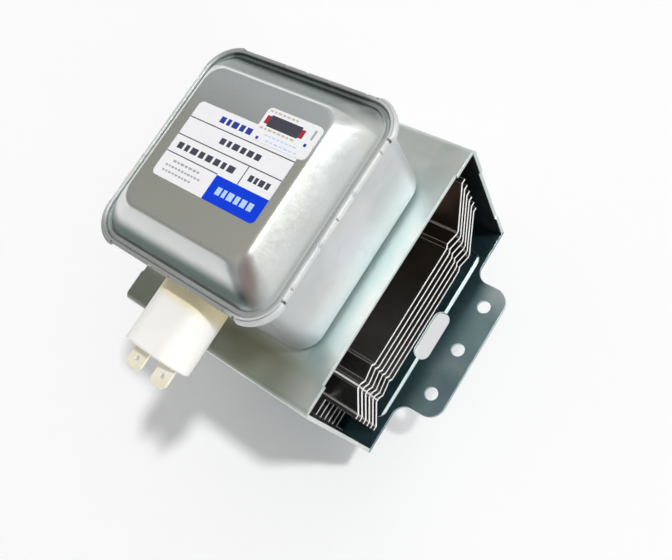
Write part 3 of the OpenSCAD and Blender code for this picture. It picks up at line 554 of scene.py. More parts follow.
class MagnetronColours(PropertyGroup):
    """Colours of the finishes."""
    zinc_light: colour("Zinc light", "Light tone of the plated yoke", (0.78, 0.80, 0.77))
    zinc_dark: colour("Zinc dark", "Dark tone of the plated yoke", (0.60, 0.68, 0.66))
    warm: colour("Warm tint", "Straw tint of the passivated zinc", (0.66, 0.64, 0.57))
    # The tone below is a near-black painted shade on the yoke's inner faces.
    inside: colour("Inside", "Tone of the yoke's inner faces", (0.014, 0.018, 0.022))
    # The tone below is a dark painted shade on the front strip of the yoke's roof, where the can shades it.
    olive: colour("Olive tint", "Dark passivation on the front of the yoke's roof", (0.21, 0.22, 0.15))
    # The tone below is a blue-green painted reflection of the can's wall on the roof beside it.
    can_reflection: colour("Blue-green tint", "Passivation on the roof beside the can", (0.40, 0.535, 0.525))
    plate_light: colour("Plate light", "Light tone of the mounting plate", (0.32, 0.47, 0.49))
    plate_dark: colour("Plate dark", "Dark tone of the mounting plate", (0.20, 0.345, 0.375))
    # The tone below is a dark blue-green painted shade on the mounting plate under the yoke.
    plate_shade: colour("Plate deep", "Tone of the mounting plate under the yoke", (0.06, 0.17, 0.21))
    bloom: colour("Plate bloom", "Violet patches of the plate's plating", (0.34, 0.37, 0.44))
    # The tone below is a pale painted highlight at the far corner of the plate's right ear.
    ear: colour("Plate ear", "Pale far corner of the plate's ear", (0.86, 0.89, 0.88))
    # The tone below is a bright painted highlight along the sloped edge of the plate's pad.
    pad_highlight: colour("Pad edge", "Rubbed edge of the plate's pad", (0.84, 0.93, 0.89))
    can_light: colour("Can light", "Light tone of the plated can", (0.69, 0.70, 0.72))
    can_dark: colour("Can dark", "Dark tone of the plated can", (0.57, 0.595, 0.60))
    # The tone below is a painted shade on the can's front right corner, darkest below the rim.
    corner_shade: colour("Stain", "Stain on the front right corner of the can", (0.25, 0.26, 0.245))
    # The tone below is a painted shade in the crevice round the foot of the can.
    foot: colour("Can foot", "Dull tone round the foot of the can", (0.22, 0.29, 0.30))
    aluminium_light: colour("Aluminium light", "Light tone of the fins", (0.52, 0.50, 0.48))
    aluminium_dark: colour("Aluminium dark", "Dark tone of the fins", (0.36, 0.34, 0.33))
    # The tone below is a dark brown painted shade on the fins deep in the bay.
    bay_shade: colour("Brown film", "Brown film toward the back of the fins", (0.17, 0.135, 0.10))
    lid_light: colour("Lid light", "Light tone of the plated lid", (0.70, 0.72, 0.715))
    lid_dark: colour("Lid dark", "Dark tone of the plated lid", (0.61, 0.645, 0.64))
    panel: colour("Panel tint", "Olive passivation on the lid's panel", (0.70, 0.70, 0.615))
    # The tone below is a pale painted reflection on the back of the lid's panel.
    pale: colour("Pale zinc", "Pale zinc on the back of the lid's panel", (0.84, 0.91, 0.90))
    # The tone below is a thin white painted highlight along the back and left edges of the lid's panel.
    rubbed: colour("Panel edge", "Rubbed back and left edges of the lid's panel", (0.95, 0.98, 0.97))
    # The tone below is a grey-green painted shade on the lid's back slope and inside the rim's lip.
    slope: colour("Slope film", "Film on the lid's back slope and inside the rim", (0.16, 0.205, 0.195))
    # The tone below is a dark painted shade low on the lid's slopes.
    film: colour("Dull film", "Dull film low on the lid's slopes", (0.085, 0.122, 0.11))
    # The tone below is a warm grey painted shade on the near part of the lid's right slope.
    dull: colour("Dull zinc", "Warm dull zinc on the lid's right slope", (0.43, 0.435, 0.415))
    # The tone below is a painted shade in the bend at the foot of the lid's right slope.
    bend: colour("Foot bend", "Dirt in the bend at the foot of the lid's right slope", (0.40, 0.425, 0.41))
    # The tone below is a pale painted highlight on the bend at the foot of the lid's left slope.
    left_foot_highlight: colour("Left foot", "Bright bend at the foot of the lid's left slope", (0.76, 0.87, 0.82))
    # The tone below is a brown painted reflection on the lid's front right corner.
    reflection: colour("Brown streak", "Brown streak on the lid's front right corner", (0.40, 0.29, 0.25))
    rim_light: colour("Rim light", "Light tone of the rolled rim", (0.80, 0.81, 0.81))
    rim_dark: colour("Rim dark", "Dark tone of the rolled rim", (0.66, 0.68, 0.68))
    # The tone below is a painted shade on the rim's front and back.
    rim_end_shade: colour("Rim ends", "Tone of the rim's front and back", (0.38, 0.385, 0.37))
    # The tone below is a dark painted shade in the rim's nicks and at the ends of its corner lips, and real
    # dust in the specks below the rim.
    nick: colour("Nicks", "Dirt in the nicks of the rim and specks below it", (0.10, 0.105, 0.105))
    paper: colour("Label film", "White of the label and the sticker", (0.90, 0.90, 0.92))
    ink: colour("Ink", "Rules, blocks and dark field of the label and the sticker", (0.06, 0.06, 0.085))
    blue: colour("Blue field", "Blue field of the label", (0.0, 0.045, 0.70))
    navy: colour("Navy blocks", "Navy blocks on the label and dots on the sticker", (0.03, 0.05, 0.30))
    grey: colour("Grey blocks", "Grey blocks on the label and the sticker", (0.42, 0.42, 0.45))
    sky: colour("Pale blocks", "Pale blue blocks on the label and the sticker", (0.50, 0.68, 0.95))
    red: colour("Red blocks", "Dark red blocks on the sticker", (0.36, 0.035, 0.04))
    tan: colour("Tan blocks", "Tan blocks on the sticker", (0.62, 0.55, 0.40))
    plastic: colour("Housing", "Body of the connector housing", (0.97, 0.965, 0.935))
    plastic_shade: colour("Housing shade", "Flow marks in the housing", (0.93, 0.90, 0.82))
    # The tone below is a beige painted shade on the housing where the rim shades it.
    beige_shade: colour("Housing yellow", "Yellowed end of the housing", (0.93, 0.80, 0.47))
    brass_light: colour("Tab light", "Light tone of the terminal tabs", (0.98, 0.95, 0.80))
    brass_dark: colour("Tab dark", "Dark tone of the terminal tabs", (0.92, 0.86, 0.66))


class LidSizes(PropertyGroup):
    """Sizes of the pressed lid."""
    panel_half: size("Panel half width", "From the middle to the panel's rounded edge", 22.9 * MM)
    edge_radius: size("Panel edge", "Radius of the panel's edge", 2.4 * MM)
    edge_slope: angle("Upper slope", "Slope under the panel's edge", 40.5)
    foot_slope: angle("Lower slope", "Slope above the foot", 56.0)
    foot_half: size("Foot half width", "From the middle to the end of the foot's bend", 33.0 * MM)
    foot_radius: size("Foot bend", "Radius of the bend between the slope and the flange", 0.6 * MM)
    panel_corner: size("Panel corner", "Corner radius of the raised panel", 5.2 * MM)
    sheet: size("Sheet", "Thickness of the sheet", 0.6 * MM)


class LabelSizes(PropertyGroup):
    """Sizes of the label and the sticker."""
    left: size("Left", "Left edge of the label", -19.2 * MM)
    right: size("Right", "Right edge of the label", 20.5 * MM)
    front: size("Front", "Front edge of the label", -13.1 * MM)
    back: size("Back", "Back edge of the label", 12.0 * MM)
    corner: size("Corner", "Corner radius of the label", 1.6 * MM)
    film: size("Film", "Thickness of the film", 0.09 * MM)
    rule: size("Rule", "Width of the printed rules", 0.32 * MM)
    rule_back: size("Back rule", "Place of the rule toward the back", 6.5 * MM)
    rule_middle: size("Middle rule", "Place of the middle rule", 0.5 * MM)
    rule_front: size("Front rule", "Place of the short rule toward the front", -5.3 * MM)
    column: size("Column", "Place of the upright rule", 9.0 * MM)
    blue_left: size("Blue left", "Left edge of the blue field", 1.4 * MM)
    blue_back: size("Blue back", "Back edge of the blue field", -5.5 * MM)
    sticker_x: size("Sticker right", "Place of the sticker's middle to the right", 13.1 * MM)
    sticker_y: size("Sticker back", "Place of the sticker's middle to the back", 12.8 * MM)
    sticker_half_x: size("Sticker half length", "From the sticker's middle to its end", 9.7 * MM)
    sticker_half_y: size("Sticker half width", "From the sticker's middle to its side", 5.2 * MM)
    sticker_corner: size("Sticker corner", "Corner radius of the sticker", 1.5 * MM)


class StageSizes(PropertyGroup):
    """The floor, the light and the view."""
    floor_drop: size("Floor", "Height of the floor, just under the antenna", CAD_BOX[0][2] - 0.4 * MM)
    floor_colour: colour("Floor colour", "Colour of the floor", (0.97, 0.97, 0.97))
    # The share below is a painted light: the floor's own white, which lifts the object's shadow toward the
    # back right.
    floor_painted_light: level("Floor white", "Share of the floor's white that is its own", 0.6)
    key: level("Key light", "Strength of the key light", 1.75)
    key_size: angle("Key size", "Apparent size of the key light", 4.0)
    zenith: level("Ceiling", "Brightness of the light from above", 0.56)
    bright_side: level("Bright side", "Brightness of the light from the right", 1.4)
    dark_side: level("Dark side", "Brightness of the light from the left", 0.24)
    lens: FloatProperty(
        name="Lens", description="Focal length of the camera", default=38.58, min=1.0,
        subtype="DISTANCE_CAMERA")


# Operators, each with the tints and shapes of its pieces

def dress(material, *names):
    """Gives CAD nodes a finish."""
    for name in names:
        for slot in NODES[name].material_slots:
            slot.material = material


def painted_shade_inside_yoke(f, cloud):
    """1 on the yoke's inner faces, which get a near-black painted shade, and 0 on its outside."""
    between = f.axis("Y").line(46.15 * MM, 46.25 * MM)
    return between * (1.0 - f.past("Z", 58.61, 58.71)) * cloud.about(0.92, 0.3)


def painted_shade_front_strip(f, cloud):
    """1 on the front strip of the yoke's roof, which gets a dark painted shade where the can shades it, and 0
    elsewhere.
    """
    front = 1.0 - f.past("Y", -37.5, -30.0)
    side = 1.0 - f.past("X", 24.0, 40.0) * 0.75
    return front * side * f.past("Z", 58.7, 58.8) * cloud.about(0.78, 0.6)


def painted_reflection_beside_can(f, cloud):
    """1 on the yoke's roof right beside the can, which gets a blue-green painted reflection of the can's
    wall, and 0 at its edge.
    """
    strip = f.past("X", 30.0, 31.5) * (1.0 - f.past("X", 34.8, 39.4))
    back = 1.0 - f.past("Y", 12.0, 34.0) * 0.7
    return strip * back * f.past("Y", -40.0, -30.0) * f.past("Z", 59.7, 59.8) * cloud.about(0.72, 0.4)


def painted_shade_can_foot(f, cloud):
    """1 in a line of painted shade round the foot of the can, where it meets the roof, and 0 higher up."""
    return (1.0 - f.past("Z", 60.3, 61.6)) * 0.85


def painted_shade_can_corner(f, cloud):
    """1 on the front right corner of the can, which gets a streaky painted shade that is darkest below the
    rim, and 0 elsewhere.
    """
    streaks = f.wire.noise(f.wire.stretched(f.where, (420.0, 420.0, 30.0)), 1.0, 2.0)
    share = f.past("Z", 62.0, 86.0) * 0.45 + cloud.about(0.3, 0.4) + streaks.about(0.0, 0.9)
    return (1.0 - f.past("Y", -32.6, -28.0)) * f.past("X", 10.0, 22.0) * share


def below_rim(f, cloud):
    """1 in the specks along the top of the can's right wall, and 0 elsewhere."""
    wall = CAN_HIGH.x - RIM_DEPTH
    band = f.axis("Z").step(CAN_HIGH.z - 8.0 * MM, CAN_HIGH.z - 3.0 * MM)
    specks = f.wire.noise(f.where, 1300.0, 2.0).step(0.60, 0.68)
    return f.axis("X").step(wall - 0.6 * MM, wall - 0.2 * MM) * band * specks * 0.5


def painted_shade_near_bay(f, cloud):
    """1 on the mounting plate under the yoke, which gets a dark blue-green painted shade, falling to 0 at the
    plate's ears.
    """
    far = f.past("Y", 24.0, 38.0) * f.past("X", 38.5, 41.0)
    return f.axis("X").line(38.0 * MM, 51.0 * MM) * cloud.about(0.8, 0.4) * (1.0 - far * 0.7)


def painted_highlight_far_ear(f, cloud):
    """1 at the far corner of the plate's right ear, which gets a pale painted highlight, and 0 elsewhere."""
    return f.past("X", 43.0, 51.0) * f.past("Y", 12.0, 27.0) * cloud.about(0.6, 0.8)


def in_bloom(f, cloud):
    """A share of violet in patches of the plating, and 0 between them."""
    return f.wire.noise(f.where, 95.0, 2.0, 0.5, 0.6).step(0.46, 0.68) * 0.4


def painted_highlight_pad_edge(f, cloud):
    """1 on the sloped edge of the plate's pad, which gets a bright painted highlight, and 0 on the flats."""
    return f.past("Z", 1.42, 1.5) * (1.0 - f.past("Z", 2.12, 2.19)) * 0.9


class MAGNETRON_OT_sheet_metal(Operator):
    """Finish the yoke, the mounting plate, the can and their fixings"""
    bl_idname = "magnetron.sheet_metal"
    bl_label = "Sheet metal"

    def execute(self, context):
        c = context.scene.magnetron_colours
        yoke = plated_steel(
            "yoke zinc", c.zinc_light, c.zinc_dark, c.warm, rough=0.50, edge_radius=0.4 * MM, turn=0.7,
            tints=((painted_shade_inside_yoke, c.inside), (painted_shade_front_strip, c.olive), (painted_reflection_beside_can, c.can_reflection)))
        dress(yoke, "yoke_frame")
        plate = plated_steel(
            "plate zinc", c.plate_light, c.plate_dark, c.zinc_dark,
            rough=0.34, edge_radius=0.3 * MM, turn=2.1,
            tints=(
                (in_bloom, c.bloom), (painted_shade_near_bay, c.plate_shade),
                (painted_highlight_far_ear, c.ear), (painted_highlight_pad_edge, c.pad_highlight)))
        dress(plate, "mounting_plate")
        can = plated_steel(
            "can zinc", c.can_light, c.can_dark, c.warm, rough=0.46, edge_radius=0.25 * MM, turn=1.3,
            grain=(3.0, 3.0, 0.6),
            tints=((painted_shade_can_corner, c.corner_shade), (painted_shade_can_foot, c.foot), (below_rim, c.nick)))
        dress(can, "filter_can", "capacitor_flange")
        fixing = plain_metal("fixing steel", (0.66, 0.67, 0.68), (0.50, 0.52, 0.53), 0.36, 0.2 * MM)
        dress(fixing, "can_rivets", "capacitor_screws")
        return {"FINISHED"}


class MAGNETRON_OT_cooling_fins(Operator):
    """Finish the six cooling fins"""
    bl_idname = "magnetron.cooling_fins"
    bl_label = "Cooling fins"

    def execute(self, context):
        c = context.scene.magnetron_colours
        fins = [name for name in sorted(NODES) if name.startswith("cooling_fin_")]
        finish = rolled_aluminium(
            "fin aluminium", c.aluminium_light, c.aluminium_dark, c.bay_shade, rough=0.30, edge_radius=0.18 * MM)
        dress(finish, *fins)
        return {"FINISHED"}


def lid_section(s):
    """The lid's upper skin from the middle of the panel to its outer edge, as half width and height."""
    top = LID_HIGH.z
    flange = CAN_HIGH.z - s.sheet
    section = [(half * MM, top) for half in (0.2, 6.0, 12.0, 17.0)] + [(s.panel_half - 1.2 * MM, top)]
    upper, lower = math.degrees(s.edge_slope), math.degrees(s.foot_slope)
    section += turn((s.panel_half, top - s.edge_radius), s.edge_radius, 90.0, 90.0 - upper, 8)
    foot = turn((s.foot_half, flange + s.foot_radius), s.foot_radius, 270.0 - lower, 270.0, 8)
    (x0, z0), (x1, z1) = section[-1], foot[0]
    reach = math.hypot(x1 - x0, z0 - z1) * 0.35
    section += curve(
        (x0, z0), (x0 + reach * math.cos(s.edge_slope), z0 - reach * math.sin(s.edge_slope)),
        (x1 - reach * math.cos(s.foot_slope), z1 + reach * math.sin(s.foot_slope)), (x1, z1), 20)
    section += foot[1:]
    section += [(LID_HIGH.x - 0.3 * MM, flange), (LID_HIGH.x, flange - 0.25 * MM)]
    return section


def lid_corner(half, s):
    """Corner radius of the lid's ring at a half width."""
    inner = s.panel_half - s.panel_corner
    if half < s.panel_half:
        return half * s.panel_corner / s.panel_half
    share = min(1.0, (half - s.panel_half) / (s.foot_half - s.panel_half))
    return half - (inner + (RIM_SIDE - inner) * share)


def lid_height(x, y, s):
    """Height of the lid's upper skin over a point of the panel or its rounded edge."""
    section = lid_section(s)
    low, high = 0.0, LID_HIGH.x
    x, y = abs(x), abs(y)
    for _ in range(30):
        half = (low + high) / 2
        corner = lid_corner(half, s)
        at = half - corner
        inside = max(x, y) <= half and (x <= at or y <= at or math.hypot(x - at, y - at) <= corner)
        low, high = (low, half) if inside else (half, high)
    for (h0, z0), (h1, z1) in zip(section, section[1:]):
        if h0 <= high <= h1:
            return z0 + (z1 - z0) * (high - h0) / (h1 - h0)
    return section[0][1]


def painted_shade_low_on_slope(f, cloud):
    """1 low on the lid's slopes, which get a dark painted shade, and 0 on the panel and the flange."""
    right = f.past("X", 25.0, 33.0)
    upper = cloud.about(99.9 * MM, 1.0 * MM) - right * (4.1 * MM)
    low = 1.0 - ((f.axis("Z") - upper) / (3.2 * MM) + 1.0).step(0.0, 1.0)
    least = 0.45 - f.past("Y", 20.0, 27.0) * 0.35
    foot = f.past("Z", 94.1, 95.9) * (1.0 - least) + least
    return low * foot * (1.0 - f.facing("Z").step(0.86, 0.97)) * (0.95 - right * 0.5)


def painted_shade_back_slope(f, cloud):
    """1 on the lid's back slope, which gets a grey-green painted shade, and 0 elsewhere."""
    return f.past("Y", 24.2, 25.4) * (1.0 - f.past("X", 18.0, 27.0) * 0.6) * cloud.about(0.85, 0.3)


def painted_highlight_panel_edge(f, cloud):
    """1 along the back and left edges of the lid's panel, which get a thin white painted highlight, and 0
    elsewhere.
    """
    line = f.past("Z", 102.45, 102.6) * (1.0 - f.past("Z", 102.78, 102.9))
    left = 1.0 - f.past("X", -23.4, -22.6)
    return line * (f.past("Y", 22.6, 23.4) * 0.9 + left * 0.4)


def painted_reflection_panel_back(f, cloud):
    """1 on the back of the lid's panel, which gets a pale painted reflection, and 0 on its slopes."""
    return f.past("Z", 102.3, 102.95) * f.past("Y", 6.0, 23.0) * 0.9


def on_panel(f, cloud):
    """1 on the lid's panel toward the front, where the passivation is olive, and 0 on its slopes."""
    front = 1.0 - f.past("Y", 4.0, 22.0)
    return f.past("Z", 102.3, 102.95) * (front * 0.8 + cloud.about(0.0, 0.4))


def painted_shade_right_slope(f, cloud):
    """1 on the near part of the lid's right slope, which gets a warm grey painted shade, and 0 elsewhere."""
    near = 1.0 - f.past("Y", 4.0, 22.0) * 0.7
    beyond = (f.axis("X") + f.axis("Y")).step(-1.5 * MM, 2.0 * MM)
    upper = f.past("X", 23.4, 25.2) * (1.0 - f.past("X", 25.5, 29.5) * 0.8)
    return upper * near * beyond * cloud.about(0.8, 0.4)


def painted_shade_right_foot(f, cloud):
    """1 in the bend at the foot of the lid's right slope, which gets a painted shade and a dull finish, and 0
    elsewhere.
    """
    low = 1.0 - f.past("Z", 94.3, 95.6)
    return f.past("X", 30.6, 31.6) * low * (1.0 - f.facing("Z").step(0.985, 0.999)) * 0.95


def painted_highlight_left_foot(f, cloud):
    """1 on the bend at the foot of the lid's left slope, which gets a pale painted highlight, and 0
    elsewhere.
    """
    return (1.0 - f.past("X", -30.0, -27.5)) * (1.0 - f.past("Z", 94.5, 95.4)) * cloud.about(0.85, 0.4)


def painted_reflection_near_corner(f, cloud):
    """1 along a brown painted reflection down the lid's front right corner, and 0 elsewhere."""
    reflection = (f.axis("X") + f.axis("Y") * 0.94 - 2.2 * MM).line(1.0 * MM, 3.7 * MM)
    return reflection * f.past("X", 22.4, 24.0) * (1.0 - f.past("X", 27.5, 30.5)) * cloud.about(0.55, 0.4)


class MAGNETRON_OT_lid(Operator):
    """Press the lid: a raised panel, sloped sides and a flange"""
    bl_idname = "magnetron.lid"
    bl_label = "Lid"

    def execute(self, context):
        s = context.scene.magnetron_lid
        c = context.scene.magnetron_colours
        arc_steps, side_steps = 14, 12
        columns = 4 * (arc_steps + side_steps)
        section = lid_section(s)
        section += [(half, z - s.sheet) for half, z in section[::-3]]
        points = []
        for half, z in section:
            points += square_ring(half, lid_corner(half, s), z, arc_steps, side_steps)
        faces = ring_faces(len(section), columns)
        faces.append(tuple(range(columns)))
        faces.append(tuple(range(len(points) - columns, len(points))))
        finish = plated_steel(
            "lid zinc", c.lid_light, c.lid_dark, c.warm, rough=0.30, edge_radius=0.25 * MM, turn=0.4,
            grain=(1.0, 8.0, 1.0), worn=0.3, dull=painted_shade_right_foot,
            tints=(
                (on_panel, c.panel), (painted_reflection_panel_back, c.pale), (painted_shade_back_slope, c.slope),
                (painted_shade_low_on_slope, c.film), (painted_shade_right_slope, c.dull), (painted_shade_right_foot, c.bend),
                (painted_highlight_left_foot, c.left_foot_highlight), (painted_reflection_near_corner, c.reflection), (painted_highlight_panel_edge, c.rubbed)))
        lid = piece("pressed_lid", points, faces, finish)
        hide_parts("filter_lid")
        return {"FINISHED"}


def rim_section():
    """Section of the rolled rim, from the can's wall round the outside to the lip, and back inside."""
    def crest(reach, rise):
        return (CAN_HIGH.x + reach * MM, CAN_HIGH.z + rise * MM)

    def below(reach, rise):
        return (CAN_HIGH.x + reach * MM, CAN_HIGH.z - RIM_HEIGHT + rise * MM)

    def root(reach, rise):
        return (CAN_HIGH.x - RIM_DEPTH + reach * MM, CAN_HIGH.z - RIM_HEIGHT + rise * MM)

    section = [root(0.02, -0.9)]
    section += curve(root(0.02, -0.9), root(0.05, -0.3), root(0.25, -0.1), root(0.7, -0.1), 5)
    section.append(below(-0.55, -0.12))
    section += curve(below(-0.55, -0.12), below(-0.1, -0.12), below(0.14, 0.1), below(0.15, 0.55), 6)
    section += curve(crest(0.15, -0.55), crest(0.15, -0.05), crest(-0.1, 0.13), crest(-0.5, 0.14), 6)
    section.append(crest(-0.75, 0.12))
    section += curve(crest(-0.75, 0.12), crest(-1.05, 0.12), crest(-1.18, -0.05), crest(-1.2, -0.55), 5)
    section += [crest(-0.9, -0.7), below(-1.6, 0.5), root(-0.3, -0.3), root(-0.3, -0.8)]
    return section


def nick_place(along, wave):
    """Count of nicks along a straight side, with a nick in the middle of each whole step."""
    return along * (NICKS / 2 / RIM_SIDE) + wave * NICK_SWAY + NICKS / 2


def flare(p, reach):
    """Moves a point of the rim's corner out and down, into the lip that the jaws left."""
    over = Vector((abs(p.x) - RIM_SIDE, abs(p.y) - RIM_SIDE, 0.0))
    if min(over.x, over.y) > 0.0:
        lean = math.degrees(math.atan2(over.y, over.x))
        share = held((min(lean, 90.0 - lean) - LIP_START) / LIP_RISE) * reach
        step = over.normalized() * CORNER_LIP * share
        p.x += math.copysign(step.x, p.x)
        p.y += math.copysign(step.y, p.y)
        p.z -= CORNER_LIP * 0.5 * share


def bite(p):
    """Moves a point on a straight side of the rim inward where a jaw left a nick."""
    across, along = (0, 1) if abs(p.x) > abs(p.y) else (1, 0)
    if abs(p[across]) > RIM_SIDE > abs(p[along]):
        place = nick_place(p[along], math.sin(p[along] * NICK_WAVE))
        side = along + 2 * int(p.x + p.y > 0)
        deep = NICK_DEPTHS[(int(place) * 3 + side * 2) % len(NICK_DEPTHS)] * MM
        deep *= math.exp(-((place % 1.0 - 0.5) / NICK_WIDTH) ** 2)
        p[across] -= math.copysign(deep, p[across])


def rim_oxide(f, cloud):
    """Share of oxide on the rolled rim."""
    return cloud.about(0.5, 0.4)


def rim_half(f):
    """Half width of the rim's ring through the surface point."""
    over = [f.wire.math("MAXIMUM", abs(f.axis(name)) - RIM_SIDE, 0.0) for name in "XY"]
    return (over[0] * over[0] + over[1] * over[1]) ** 0.5 + RIM_SIDE


def painted_shade_in_nicks(f, cloud):
    """1 in the nicks and at the ends of the corner lips on the outside of the rim, which get a dark painted
    shade, and 0 elsewhere.
    """
    marks = 0.0
    for along, across in ("XY", "YX"):
        place, over = f.axis(along), f.axis(across)
        away = f.wire.math("FRACT", nick_place(place, f.wire.math("SINE", place * NICK_WAVE))) - 0.5
        side = (over * over).step(RIM_SIDE ** 2, (RIM_SIDE + 1.0 * MM) ** 2)
        end = abs(place) - RIM_SIDE - 0.4 * MM
        nick = away.line(0.015, 0.05) * (1.0 - end.step(-1.2 * MM, -0.6 * MM))
        marks = (nick * cloud.about(0.5, 1.8) + end.line(0.15 * MM, 0.5 * MM)) * side + marks
    return marks * rim_half(f).step(CAN_HIGH.x - 0.6 * MM, CAN_HIGH.x - 0.25 * MM)


def painted_shade_inside_rim(f, cloud):
    """1 on the inner face of the rim's lip, which gets a painted shade, and 0 on its crest and outside."""
    crest = rim_half(f).step(CAN_HIGH.x - 1.16 * MM, CAN_HIGH.x - 0.98 * MM)
    return (1.0 - crest) * (0.35 - f.past("X", 24.0, 31.0) * 0.25)


def painted_shade_rim_ends(f, cloud):
    """1 on the front and the back of the rim, which get a darker painted shade, and 0 on its sides."""
    ends = abs(f.axis("Y")).step(27.0 * MM, 33.0 * MM)
    return ends * (1.0 - f.past("X", 20.0, 28.0) * 0.8) * cloud.about(0.95, 0.3)


class MAGNETRON_OT_rim(Operator):
    """Roll the can's rim over the lid, with the nicks and corner lips left by the crimping jaws"""
    bl_idname = "magnetron.rim"
    bl_label = "Rolled rim"

    def execute(self, context):
        c = context.scene.magnetron_colours
        arc_steps, side_steps = 30, 140
        columns = 4 * (arc_steps + side_steps)
        section = rim_section()
        lip = 0.9 * MM
        points = []
        for half, z in section:
            ring = square_ring(half, half - RIM_SIDE, z, arc_steps, side_steps)
            for p in ring:
                flare(p, held((half - CAN_HIGH.x + lip) / lip))
                if half > CAN_HIGH.x - 0.8 * MM:
                    bite(p)
            points += ring
        finish = plated_steel(
            "rim zinc", c.rim_light, c.rim_dark, c.warm, rough=0.5, edge_radius=0.2 * MM, turn=1.9,
            grain=(2.0, 2.0, 2.0), worn=0.3, bumped=0.3, dull=rim_oxide,
            tints=((painted_shade_rim_ends, c.rim_end_shade), (painted_shade_inside_rim, c.slope), (painted_shade_in_nicks, c.nick)))
        piece("rolled_rim", points, ring_faces(len(section), columns, True), finish)
        return {"FINISHED"}


def rounded_outline(x0, x1, y0, y1, corner, steps):
    """Points round a rectangle with rounded corners."""
    left, right, front, back = x0 + corner, x1 - corner, y0 + corner, y1 - corner
    points = []
    for k, centre in enumerate(((right, back), (left, back), (left, front), (right, front))):
        points += turn(centre, corner, 90.0 * k, 90.0 * (k + 1), steps)
    return points


def row(x0, x1, y0, y1, count, tone):
    """A row of plain blocks of one tone, of uneven width."""
    widths = [BLOCK_WIDTHS[k % len(BLOCK_WIDTHS)] for k in range(count)]
    gap = 0.3 * (x1 - x0) / count
    unit = (x1 - x0 - gap * (count - 1)) / sum(widths)
    blocks = []
    for width in widths:
        blocks.append((x0, x0 + width * unit, y0, y1, tone))
        x0 += width * unit + gap
    return blocks


def film_sheet(name, outline, fields, films, thick, place, s, lift=0.0):
    """A thin printed film on the lid: an outline cut into faces, each with the finish of its field."""
    work = bmesh.new()
    work.faces.new([work.verts.new((x, y, 0.0)) for x, y in outline])
    for axis, normal, parts in ((0, Vector((1, 0, 0)), 16), (1, Vector((0, 1, 0)), 10)):
        low, high = min(p[axis] for p in outline), max(p[axis] for p in outline)
        cuts = {round(v * MM, 7) for f in fields for v in f[2 * axis:2 * axis + 2]}
        cuts |= {low + (high - low) * k / parts for k in range(1, parts)}
        for value in sorted(cuts):
            everything = work.verts[:] + work.edges[:] + work.faces[:]
            bmesh.ops.bisect_plane(
                work, geom=everything, plane_co=normal * value, plane_no=normal, dist=1e-7)
    for face in work.faces:
        middle = face.calc_center_median() / MM
        for x0, x1, y0, y1, tone in fields:
            if x0 < middle.x < x1 and y0 < middle.y < y1:
                face.material_index = tone
    for v in work.verts:
        x, y = v.co.x + place[0], v.co.y + place[1]
        v.co = Vector((x, y, lid_height(x, y, s) + thick + lift + FILM_GAP))
    made = bmesh.ops.extrude_edge_only(work, edges=[e for e in work.edges if e.is_boundary])
    for v in made["geom"]:
        if isinstance(v, bmesh.types.BMVert):
            v.co.z -= thick + lift
    for face in work.faces:
        face.smooth = False
    mesh = bpy.data.meshes.new(name)
    work.to_mesh(mesh)
    work.free()
    return ride(name, mesh, films)


def label_fields(size_of):
    """The label's rules and its blue field, in millimetres."""
    x0, x1, front = size_of("left"), size_of("right"), size_of("front")
    blue_left, blue_back, column = size_of("blue_left"), size_of("blue_back"), size_of("column")
    half = size_of("rule") / 2
    fields = [(blue_left, x1, front, blue_back, BLUE)]
    for key, end in (("rule_back", x1), ("rule_middle", x1), ("rule_front", blue_left)):
        fields.append((x0, end, size_of(key) - half, size_of(key) + half, INK))
    fields.append((column - half, column + half, blue_back, size_of("rule_middle") - half, INK))
    return fields


class MAGNETRON_OT_label(Operator):
    """Lay the label and the small sticker on the panel"""
    bl_idname = "magnetron.label"
    bl_label = "Label and sticker"

    def execute(self, context):
        s = context.scene.magnetron_lid
        label = context.scene.magnetron_label
        films = []
        for name, key, gain, rough in PRINTS:
            tone = getattr(context.scene.magnetron_colours, key)
            films.append(printed_film(name, tone, tuple(v * gain for v in tone), rough))
        fields = label_fields(lambda key: getattr(label, key) / MM)
        for blocks in LABEL_ROWS:
            fields += row(*blocks)
        outline = rounded_outline(label.left, label.right, label.front, label.back, label.corner, 6)
        film_sheet("label", outline, fields, films, label.film, (0.0, 0.0), s)
        fields = list(STICKER_FIELDS)
        for blocks in STICKER_ROWS:
            fields += row(*blocks)
        half_x, half_y = label.sticker_half_x, label.sticker_half_y
        outline = rounded_outline(-half_x, half_x, -half_y, half_y, label.sticker_corner, 5)
        place = (label.sticker_x, label.sticker_y)
        film_sheet("sticker", outline, fields, films, label.film, place, s, 1.6 * label.film)
        return {"FINISHED"}


def painted_shade_near_can(f, cloud):
    """1 where the housing meets the can and lies in the rim's shadow, which gets a beige painted shade, and 0
    at its free end.
    """
    return f.past("Y", -41.0, -37.8) * cloud.about(0.85, 0.4)


class MAGNETRON_OT_connector(Operator):
    """Finish the connector housing, the capacitor and the terminal tabs"""
    bl_idname = "magnetron.connector"
    bl_label = "Connector"

    def execute(self, context):
        c = context.scene.magnetron_colours
        housing = moulded_plastic(
            "housing plastic", c.plastic, c.plastic_shade, rough=0.38, tints=((painted_shade_near_can, c.beige_shade),))
        dress(housing, "connector_housing")
        case = moulded_plastic("capacitor plastic", (0.05, 0.16, 0.42), (0.04, 0.12, 0.34), rough=0.42)
        dress(case, "capacitor_case")
        tabs = plain_metal(
            "tab brass", c.brass_light, c.brass_dark, 0.42, 0.15 * MM, scale=420.0, metal=0.25)
        dress(tabs, "terminal_tab_left", "terminal_tab_right")
        return {"FINISHED"}


